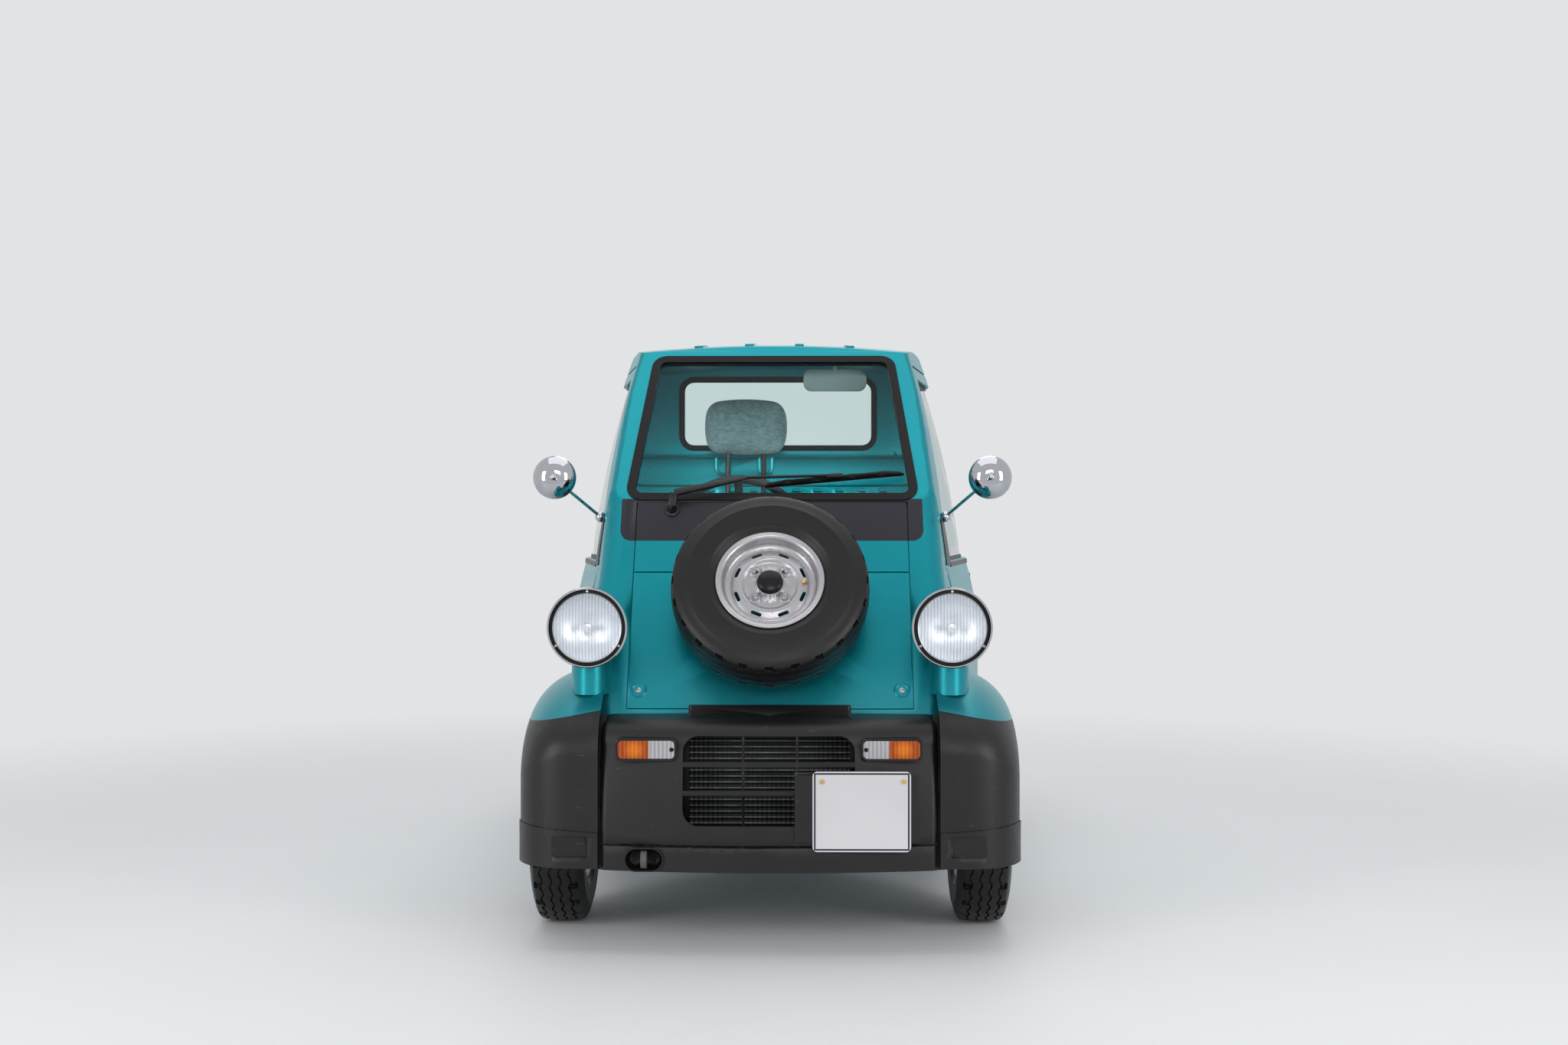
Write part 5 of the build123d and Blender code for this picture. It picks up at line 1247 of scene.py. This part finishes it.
# %% Rubber strips behind the seams
seam_x = 0.429
seam_overlap = 0.002
seam_steps = ((-1.330, 0.212), (-1.326, 0.360), (-1.312, 0.460), (-1.294, 0.540), (-1.270, 0.590))
strips = bmesh.new()
for side in (-1, 1):
    for (y_low, z_low), (y_high, z_high) in zip(seam_steps, seam_steps[1:]):
        foot = (side * seam_x, y_low, z_low - seam_overlap)
        head = (side * seam_x, y_high, z_high + seam_overlap)
        bar(strips, foot, head, 0.026, 0.008, 0.001)
finish_shape(strips, "seam_strips", rubber, "truck")
print("seam strips from", seam_steps[0][1], "to", seam_steps[-1][1], "m")

# %% [markdown]
# ## Radiator duct
# A black duct leads the air from the grille to the radiator and hides the pale floor behind it. It is a
# frame of flat bars round the core, with a plate below and one at each side that reach forward to the
# bumper. Bars are enough, because only their inner faces show between the slats of the grille.

# %% Duct between grille and radiator
duct_y = -1.276
duct_half = 0.232
duct_edge = 0.001
duct = bmesh.new()
for side in (-1, 1):
    bar(duct, (side * 0.216, duct_y, 0.318), (side * 0.216, duct_y, 0.560), 0.034, 0.006, duct_edge)
for z in (0.316, 0.560):
    bar(duct, (-duct_half, duct_y, z), (duct_half, duct_y, z), 0.030, 0.006, duct_edge)
bar(duct, (-duct_half, -1.315, 0.308), (duct_half, -1.315, 0.308), 0.075, 0.004, duct_edge, (0, 0, 1))
for side in (-1, 1):
    foot, head = (side * 0.234, -1.297, 0.312), (side * 0.234, -1.297, 0.555)
    bar(duct, foot, head, 0.036, 0.004, duct_edge, (side, 0, 0))
finish_shape(duct, "radiator_duct", rubber, "truck")
print("duct", 2 * duct_half, "m wide")

# %% [markdown]
# ## Wiper arm
# The wiper turns on a spindle that stands out of the grey strip, under a capped nut. Its arm is a tapered
# pressing that carries on as a thin rod. A curve with a bevel could make the whole wiper in one go, but
# it would be round all along. Bars and turned pieces keep the flat pressing, the clip and the rod apart,
# as they are on the real one. Places are given on the glass, with the distance off its face.

# %% Wiper arm and rod
screen_out = (0, -0.792, 0.611)
screen_foot_y = -0.880
screen_foot_z = 1.147
screen_lean = 0.771


def on_screen(x, z, off):
    """A place in front of the windshield, off metres out from its face."""
    y = screen_foot_y + (z - screen_foot_z) * screen_lean
    return Vector((x, y + off * screen_out[1], z + off * screen_out[2]))


spindle_outline = (
    (-0.002, 0.0), (-0.002, 0.0225), (0.003, 0.0215), (0.006, 0.0150), (0.013, 0.0130), (0.013, 0.0)
)
spindle_nut = ((0.012, 0.0), (0.012, 0.0105), (0.021, 0.0095), (0.026, 0.0050), (0.027, 0.0))
spindle = on_nose(-0.276, 1.121)
head = on_screen(-0.270, 1.150, 0.030)
elbow = on_screen(-0.070, 1.190, 0.034)
tip = on_screen(0.174, 1.2015, 0.026)
clip = (on_screen(0.150, 1.1995, 0.023), on_screen(0.198, 1.2025, 0.023))
arm = bmesh.new()
lathe(arm, spindle_outline, 24, spindle)
bar(arm, spindle @ Vector((0.016, 0, 0)), head, 0.024, 0.013, 0.004, screen_out)
bar(arm, head, elbow, 0.023, 0.011, 0.004, screen_out, 0.55)
bar(arm, *clip, 0.014, 0.012, 0.003, screen_out)
finish_shape(arm, "wiper_arm", black_plastic, "truck")
rod = bmesh.new()
round_rod(rod, elbow, tip, 0.0042)
lathe(rod, spindle_nut, 6, spindle)
finish_shape(rod, "wiper_rod", post_black, "truck")
print("wiper arm", round((tip - head).length, 3), "m long")

# %% [markdown]
# ## Wiper blade
# The rod holds a bridge of small links over a rubber blade, and the blade rests on the glass. The links
# spread the force of the arm along the blade. Each link is two bars that meet above the blade like a low
# roof, because a straight strip would hide that the bridge is open.

# %% Blade and bridge
off_glass = Vector(screen_out)
blade_start = on_screen(-0.020, 1.183, 0.006)
blade_end = on_screen(0.368, 1.218, 0.006)
link_spans = ((0.02, 0.30), (0.22, 0.52), (0.48, 0.78), (0.70, 0.98))
link_foot = 0.006
link_rise = 0.009
bridge_height = 0.014
bridge_span = (0.16, 0.84)
blade = bmesh.new()
bar(blade, blade_start, blade_end, 0.006, 0.010, 0.002, screen_out)
for span in link_spans:
    first, last = (blade_start.lerp(blade_end, share) + off_glass * link_foot for share in span)
    middle = (first + last) / 2 + off_glass * link_rise
    bar(blade, first, middle, 0.010, 0.004, 0.0012, screen_out)
    bar(blade, middle, last, 0.010, 0.004, 0.0012, screen_out)
first, last = (blade_start.lerp(blade_end, share) + off_glass * bridge_height for share in bridge_span)
bar(blade, first, last, 0.008, 0.005, 0.0015, screen_out)
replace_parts(finish_shape(blade, "wiper_blade", rubber, "truck"), "wiper")
print("blade", round((blade_end - blade_start).length, 3), "m long")

# %% [markdown]
# ## Window rubbers
# Every pane sits in a black rubber. A tube along the edge would need the edge's points. It is simpler to
# take the rubber from the pane itself: the faces on one side are inset, the strip that the inset makes is
# kept and given a thickness, and the rest is thrown away. So the rubber fits each pane by itself.

# %% Rubbers from the panes
rubber_thickness = 0.004
behind_y = 0.2


def pane_rubber(node, name, chosen, width, body):
    """A strip along the edge of a pane, on the side whose faces are chosen."""
    shape = merged_copy(node)
    unused = [face for face in shape.faces if not chosen(face)]
    bmesh.ops.delete(shape, geom=unused, context="FACES")
    inner = shape.faces[:]
    strip = bmesh.ops.inset_region(
        shape, faces=inner, thickness=width, use_even_offset=True, use_boundary=True
    )["faces"]
    bmesh.ops.delete(shape, geom=inner, context="FACES")
    bmesh.ops.solidify(shape, geom=shape.faces[:], thickness=-rubber_thickness)
    bmesh.ops.recalc_face_normals(shape, faces=shape.faces)
    print(name, len(strip), "strip faces")
    return finish_shape(shape, name, rubber, body)


def rear_pane(face, towards):
    """Whether a face of the cab's glass belongs to the rear window and looks forward or back."""
    return face.normal.y * towards > 0.9 and face.calc_center_median().y > behind_y


pane_rubber("door_glass_left", "door_rubber_left", lambda f: f.normal.x > 0.8, 0.010, "left_door")
pane_rubber("door_glass_right", "door_rubber_right", lambda f: f.normal.x < -0.8, 0.010, "right_door")
pane_rubber("cab_glass", "rear_rubber_outside", lambda f: rear_pane(f, 1), 0.020, "truck")
pane_rubber("cab_glass", "rear_rubber_inside", lambda f: rear_pane(f, -1), 0.020, "truck")

# %% [markdown]
# ## Door locks and tailgate latches
# Each door has a small key barrel ahead of its pull handle, and the tailgate is held shut by a lever
# latch near each top corner. Dark spots in the paint could stand for them from afar, but they stand
# proud and catch the light, so they are turned pieces and bars. Each one rides on the body of its door
# or tailgate and swings away with it.

# %% Locks and latches
lock_outline = ((-0.002, 0.0), (-0.002, 0.0100), (0.0020, 0.0094), (0.0024, 0.0060), (0.0012, 0.0))
latch_pin = ((0.0, 0.0), (0.0, 0.0075), (0.0055, 0.0070), (0.0065, 0.0))
straight_back = (0, 1, 0)
for side, door in ((1, "left_door"), (-1, "right_door")):
    shape = bmesh.new()
    lathe(shape, lock_outline, 20, facing((side * 0.6125, -0.078, 0.910), (side, 0, 0)))
    finish_shape(shape, "lock_" + door, bright_steel, door)
shape = bmesh.new()
for side in (-1, 1):
    plate_ends = (side * 0.500, 1.3825, 0.845), (side * 0.560, 1.3825, 0.845)
    lever_ends = (side * 0.515, 1.3875, 0.800), (side * 0.515, 1.3875, 0.862)
    bar(shape, *plate_ends, 0.030, 0.004, 0.0012, straight_back)
    bar(shape, *lever_ends, 0.012, 0.008, 0.003, straight_back, 0.8)
    lathe(shape, latch_pin, 16, facing((side * 0.545, 1.384, 0.845), straight_back))
finish_shape(shape, "tailgate_latches", bright_steel, "tailgate")
print("locks 2, latches 2")

# %% [markdown]
# ## Seat cloth
# The seat is covered in a grey-green tweed: tufts of two tones over a fine weave. Threads modelled one by
# one would be far too many, so the tufts are a cloud of noise, stretched a little, and the weave is two
# crossed waves that only bump the surface. A little sheen gives the soft edge light of cloth.

# %% Cloth finish
thread_rate = 1500.0
tuft_dark = (0.130, 0.200, 0.212)
tuft_light = (0.31, 0.41, 0.425)
seat_cloth, seat_shader = finish_named("seat_cloth", (0.14, 0.22, 0.24), 0.9)
weave_place = axes_of(seat_cloth)
up_and_back = math_node(seat_cloth, "ADD", weave_place["Z"], weave_place["Y"])
across_threads = waves(seat_cloth, weave_place["X"], thread_rate)
long_threads = waves(seat_cloth, up_and_back, thread_rate)
weave = math_node(seat_cloth, "MULTIPLY", across_threads, long_threads)
tufts = ramp(seat_cloth, clouds(seat_cloth, 110, 6, (0.6, 1.0, 1.5)), 0.0, 1.0, -0.6, 1.6)
connect(seat_cloth, two_colours(seat_cloth, tufts, tuft_dark, tuft_light), seat_shader, "Base Color")
bumped(seat_cloth, seat_shader, weave, 0.35, 0.0012)
seat_shader.inputs["Sheen Weight"].default_value = 0.3
print("cloth", seat_cloth.name)

# %% [markdown]
# ## A start for the padding
# A cushion is foam under cloth, which swells between its edges. The solid model holds its space as a
# block. The padding starts from that block, drawn in a little so that it has room to swell. One node can
# hold several blocks, so the helper first sorts them by height and keeps one.

# %% Pick a block and draw it in
draw_in = 0.04


def blocks_of(shape):
    """The separate blocks of a shape as sets of corners, the lowest first."""
    blocks = []
    left = set(shape.verts)
    while left:
        seed = left.pop()
        block, front = {seed}, [seed]
        while front:
            for edge in front.pop().link_edges:
                for vertex in edge.verts:
                    if vertex in left:
                        left.discard(vertex)
                        block.add(vertex)
                        front.append(vertex)
        blocks.append(block)
    return sorted(blocks, key=lambda block: sum(v.co.z for v in block) / len(block))


def padding_start(node, index, above=None):
    """One block of a node as a merged mesh, cut off below a height and drawn in."""
    shape = merged_copy(node)
    drop = [v for i, block in enumerate(blocks_of(shape)) if i != index for v in block]
    bmesh.ops.delete(shape, geom=drop, context="VERTS")
    if above is not None:
        everything = shape.verts[:] + shape.edges[:] + shape.faces[:]
        bmesh.ops.bisect_plane(
            shape, geom=everything, plane_co=(0, 0, above), plane_no=(0, 0, -1), clear_outer=True
        )
        bmesh.ops.holes_fill(shape, edges=shape.edges[:])
    middle = sum((v.co for v in shape.verts), Vector()) / len(shape.verts)
    for v in shape.verts:
        v.co = middle + (v.co - middle) * (1 - draw_in)
    mesh = bpy.data.meshes.new(node + "_start")
    shape.to_mesh(mesh)
    shape.free()
    return mesh


print("padding starts", draw_in, "smaller")

# %% [markdown]
# ## Seat and headrest
# The padding is blown up like real foam under cloth. The block is remeshed into even cells, filled with
# pressure by the cloth solver for twenty steps, held back so that no point strays, and smoothed. Rounding
# the block with a subdivision surface would be quicker, but its sides would shrink evenly instead of
# pulling in between the corners.

# %% Blow the padding up
cloth_steps = 20
least_move = 1e-9
smoothing_rounds = 3


def blown_up(piece, pressure, cap):
    """Moves each corner of a piece the way the cloth solver blows it up, at most as far as cap."""
    before = [v.co.copy() for v in piece.data.vertices]
    cloth = piece.modifiers.new("cloth", "CLOTH")
    cloth.settings.use_pressure = True
    cloth.settings.uniform_pressure_force = pressure
    cloth.settings.effector_weights.gravity = 0.0
    for step in range(1, cloth_steps + 1):
        bpy.context.scene.frame_set(step)
    grown = piece.evaluated_get(bpy.context.evaluated_depsgraph_get())
    after = [v.co.copy() for v in grown.data.vertices]
    piece.modifiers.remove(cloth)
    bpy.context.scene.frame_set(1)
    for vertex, start, end in zip(piece.data.vertices, before, after):
        move = end - start
        vertex.co = start + move * min(1.0, cap / max(move.length, least_move))


def smoothed(piece):
    """Evens out the cells of a remeshed piece."""
    shape = bmesh.new()
    shape.from_mesh(piece.data)
    for _ in range(smoothing_rounds):
        bmesh.ops.smooth_vert(
            shape, verts=shape.verts, factor=0.5, use_axis_x=True, use_axis_y=True, use_axis_z=True
        )
    shape.to_mesh(piece.data)
    shape.free()
    piece.data.shade_smooth()


print("cloth runs for", cloth_steps, "steps")

# %% [markdown]
# ### Three padded pieces
# Headrest, cushion and back are made alike and differ in cell size and how far they may swell. Each pad is
# given how tightly it is filled, which is the same for all three.


# %% Headrest, cushion and back
def pad(name, node, index, voxel, pressure, cap, above=None):
    """A padded piece that stands for a node and rides where it does."""
    piece = bpy.data.objects.new(name, padding_start(node, index, above))
    bpy.context.scene.collection.objects.link(piece)
    bpy.context.view_layer.objects.active = piece
    piece.data.remesh_voxel_size = voxel
    bpy.ops.object.select_all(action="DESELECT")
    piece.select_set(True)
    bpy.ops.object.voxel_remesh()
    blown_up(piece, pressure, cap)
    smoothed(piece)
    piece.data.materials.append(seat_cloth)
    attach(piece, body_of_node[node])
    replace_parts(piece, node)
    return piece


headrest_pad = pad("headrest_pad", "headrest", 0, 0.007, 3.0, 0.010, 1.311)
cushion_pad = pad("cushion_pad", "seat_cushions", 0, 0.009, 3.0, 0.012)
back_pad = pad("back_pad", "seat_cushions", 1, 0.009, 3.0, 0.012)
print("padding", [len(p.data.polygons) for p in (headrest_pad, cushion_pad, back_pad)])

# %% [markdown]
# ## Posts of the headrest
# Two black steel posts carry the headrest, and each goes through a small collar in the top of the seat
# back. Only the padding was kept from the headrest's solid, so the posts are made anew as round rods.
# They lean back a little, as the seat does.

# %% Posts and collars
collar_outline = ((-0.006, 0.0), (-0.006, 0.016), (0.004, 0.015), (0.006, 0.0))
post_radius = 0.008
shape = bmesh.new()
for x in (-0.166, -0.046):
    round_rod(shape, (x, 0.177, 1.100), (x, 0.186, 1.330), post_radius)
    lathe(shape, collar_outline, 20, facing((x, 0.176, 1.140), (0, 0, 1)))
finish_shape(shape, "headrest_posts", post_black, "truck")
print("posts 2, of", 2 * post_radius, "m across")

# %% [markdown]
# ## Loops on the rear wall
# The wall behind the driver is pressed from thin sheet, and two loops hang from a bead that runs along
# it. Each loop is a U of round tube. Three rods would leave open joints at the bends. So a ring of edges
# is drawn down one side, spun through the half turn and drawn up again, and the ends are closed.

# %% A hanging loop
tube_sides = 10
bend_steps = 8


def drawn_on(shape, ring, rise):
    """Draws a ring of edges up or down into a tube, and returns the new end of the tube."""
    made = bmesh.ops.extrude_edge_only(shape, edges=ring)["geom"]
    ring = [item for item in made if isinstance(item, bmesh.types.BMEdge)]
    corners = list({v for edge in ring for v in edge.verts})
    bmesh.ops.translate(shape, verts=corners, vec=(0, 0, rise))
    return ring


def hanging_loop(shape, left, right, foot_z, top_z, y, radius):
    """Adds a U of round tube: down on the left, round the bend and up on the right."""
    old = set(shape.verts)
    top = Matrix.Translation((left, y, top_z))
    bmesh.ops.create_circle(shape, cap_ends=True, segments=tube_sides, radius=radius, matrix=top)
    ring = list({edge for v in shape.verts if v not in old for edge in v.link_edges})
    ring = drawn_on(shape, ring, foot_z - top_z)
    bend = bmesh.ops.spin(
        shape, geom=ring, cent=((left + right) / 2, y, foot_z), axis=(0, -1, 0), dvec=(0, 0, 0),
        angle=pi, steps=bend_steps, use_merge=False, use_duplicate=False,
    )["geom_last"]
    ring = [item for item in bend if isinstance(item, bmesh.types.BMEdge)]
    ring = drawn_on(shape, ring, top_z - foot_z)
    bmesh.ops.holes_fill(shape, edges=ring)
    new = [v for v in shape.verts if v not in old]
    bmesh.ops.recalc_face_normals(shape, faces=list({face for v in new for face in v.link_faces}))


print("loops have", tube_sides, "sides")

# %% [markdown]
# ## Pressings of the rear wall
# A bead runs along the wall like a shelf, a step lies below it, and upright swages end in rounded caps
# just under the step. The real ones are folds in the sheet. Thin rounded ridges laid on the wall catch
# the light along the same lines, and they can be placed without cutting the wall's mesh.

# %% Bead, step, loops and swage ends
wall_y = 0.293
bead_z = 1.3075
step_z = 1.210
loop_half = 0.0215
loop_foot_z = 1.270
loop_middles = (-0.188, -0.042)
swage_middles = (-0.303, -0.229, -0.155, -0.081, 0.062, 0.136, 0.210, 0.284, 0.355)
swage_half = 0.016
swage_drop = 0.015
ridge = bmesh.new()
round_rod(ridge, (-0.470, wall_y - 0.006, bead_z), (0.470, wall_y - 0.006, bead_z), 0.0055)
round_rod(ridge, (-0.500, wall_y - 0.007, step_z), (0.500, wall_y - 0.007, step_z), 0.0040)
for x in loop_middles:
    hanging_loop(ridge, x - loop_half, x + loop_half, loop_foot_z, bead_z, wall_y - 0.005, 0.0062)
for x in swage_middles:
    left, right = ((x + way * swage_half, wall_y - 0.008, step_z - swage_drop) for way in (-1, 1))
    bar(ridge, left, right, 0.012, 0.009, 0.0035)
finish_shape(ridge, "wall_pressings", paint, "truck")
print("pressings", len(loop_middles), "loops and", len(swage_middles), "swage ends")

# %% [markdown]
# ## Door linings
# Inside, each door has a moulded lining. A flat board would stick out of the leaning door or sink into it.
# So the lining is the door's own inner face, cut to size by four planes and given a thickness, and it
# follows the lean of the door by itself.

# %% Cut a lining from a door
lining_thickness = 0.005
lining_cuts = (
    ((0, 0, 0.925), (0, 0, 1)),
    ((0, 0, 0.475), (0, 0, -1)),
    ((0, 0.070, 0), (0, 1, 0)),
    ((0, -0.560, 0), (0, -1, 0)),
)
doors = ((1, "left_door", "door_left"), (-1, "right_door", "door_right"))


def door_lining(door, node, side):
    """The inner face of a door, cut to size and made a board; side is 1 left and -1 right."""
    shape = merged_copy(node)
    outward = [face for face in shape.faces if face.normal.x * side > -0.85]
    bmesh.ops.delete(shape, geom=outward, context="FACES")
    for place, way in lining_cuts:
        everything = shape.verts[:] + shape.edges[:] + shape.faces[:]
        bmesh.ops.bisect_plane(shape, geom=everything, plane_co=place, plane_no=way, clear_outer=True)
    bmesh.ops.recalc_face_normals(shape, faces=shape.faces)
    if sum(face.normal.x * face.calc_area() for face in shape.faces) * side > 0:
        bmesh.ops.reverse_faces(shape, faces=shape.faces)
    bmesh.ops.solidify(shape, geom=shape.faces[:], thickness=-lining_thickness)
    bmesh.ops.recalc_face_normals(shape, faces=shape.faces)
    return finish_shape(shape, "lining_" + door, dash_plastic, door)


print("linings are cut by", len(lining_cuts), "planes")

# %% [markdown]
# ## Arm rests and window winders
# Each lining carries an arm rest, which is also the pull, and a crank that winds the window. They have to
# touch a face that leans and curves. Instead of measuring that face by hand, a ray is sent level from inside
# the cab, and where it meets the door the piece begins. Both doors get all three.

# %% Linings, arm rests and winders
cab_middle = 0.30
rest_y, rest_z = -0.22, 0.800
winder_y, winder_z = -0.300, 0.680
hub_outline = ((0.0, 0.0), (0.0, 0.026), (0.008, 0.024), (0.018, 0.014), (0.020, 0.0))
knob_outline = ((0.0, 0.0), (0.0, 0.009), (0.012, 0.011), (0.026, 0.010), (0.030, 0.006), (0.031, 0.0))


def inner_x(node, side, y, z):
    """Where a level ray from inside the cab meets the inside of a door."""
    shape = merged_copy(node)
    start, outward = Vector((side * cab_middle, y, z)), Vector((side, 0, 0))
    place = BVHTree.FromBMesh(shape).ray_cast(start, outward)[0]
    shape.free()
    return place.x


for side, door, node in doors:
    lining = door_lining(door, node, side)
    rest_x = inner_x(node, side, rest_y, rest_z) - side * 0.020
    rest = bmesh.new()
    bar(rest, (rest_x, -0.420, rest_z), (rest_x, -0.060, rest_z), 0.052, 0.044, 0.014, (0, 0, 1))
    finish_shape(rest, "arm_rest_" + door, dash_plastic, door)
    door_x = inner_x(node, side, winder_y, winder_z)
    crank = (door_x - side * 0.022, winder_y, winder_z), (door_x - side * 0.030, -0.385, 0.655)
    inward = (-side, 0, 0)
    winder = bmesh.new()
    lathe(winder, hub_outline, 24, facing((door_x - side * 0.004, winder_y, winder_z), inward))
    bar(winder, *crank, 0.018, 0.008, 0.003, (side, 0, 0), 0.8)
    lathe(winder, knob_outline, 16, facing((door_x - side * 0.030, -0.382, 0.656), inward))
    finish_shape(winder, "winder_" + door, cap_black, door)
    print(door, "lining", len(lining.data.polygons), "faces, winder at x", round(door_x, 3))

# %% [markdown]
# ## Floor
# The studio floor is a wide pale disc that catches the shadow. A floor that ends somewhere shows an edge
# against the surroundings. So the finish fades out to nothing some metres from the truck, and the pale
# world takes over with no line between them.

# %% Floor
floor_radius = 12.0
fade_start = 1.9
fade_end = 5.2
floor_mat, floor_shader = finish_named("studio_floor", (0.90, 0.905, 0.91), 0.6, shine=0.25)
mottle = two_colours(floor_mat, clouds(floor_mat, 1.5, 6), (0.89, 0.895, 0.90), (0.93, 0.935, 0.94))
connect(floor_mat, mottle, floor_shader, "Base Color")
distance = add_node(floor_mat, "VectorMath", [(0, object_space(floor_mat))], operation="LENGTH")
fade = add_node(
    floor_mat, "MapRange", [("Value", distance.outputs["Value"])], interpolation_type="SMOOTHSTEP",
    **{"From Min": fade_start, "From Max": fade_end},
)
nothing = add_node(floor_mat, "BsdfTransparent")
floor_layers = [(0, fade.outputs[0]), (1, floor_shader.outputs[0]), (2, nothing.outputs[0])]
faded = add_node(floor_mat, "MixShader", floor_layers)
connect(floor_mat, faded.outputs[0], floor_mat.node_tree.nodes["Material Output"], "Surface")
shape = bmesh.new()
bmesh.ops.create_circle(shape, cap_ends=True, segments=96, radius=floor_radius)
floor_mesh = bpy.data.meshes.new("studio_floor")
shape.to_mesh(floor_mesh)
shape.free()
floor_mesh.materials.append(floor_mat)
floor = bpy.data.objects.new("studio_floor", floor_mesh)
bpy.context.scene.collection.objects.link(floor)
print("floor of radius", floor_radius, "m, fading from", fade_start, "m")
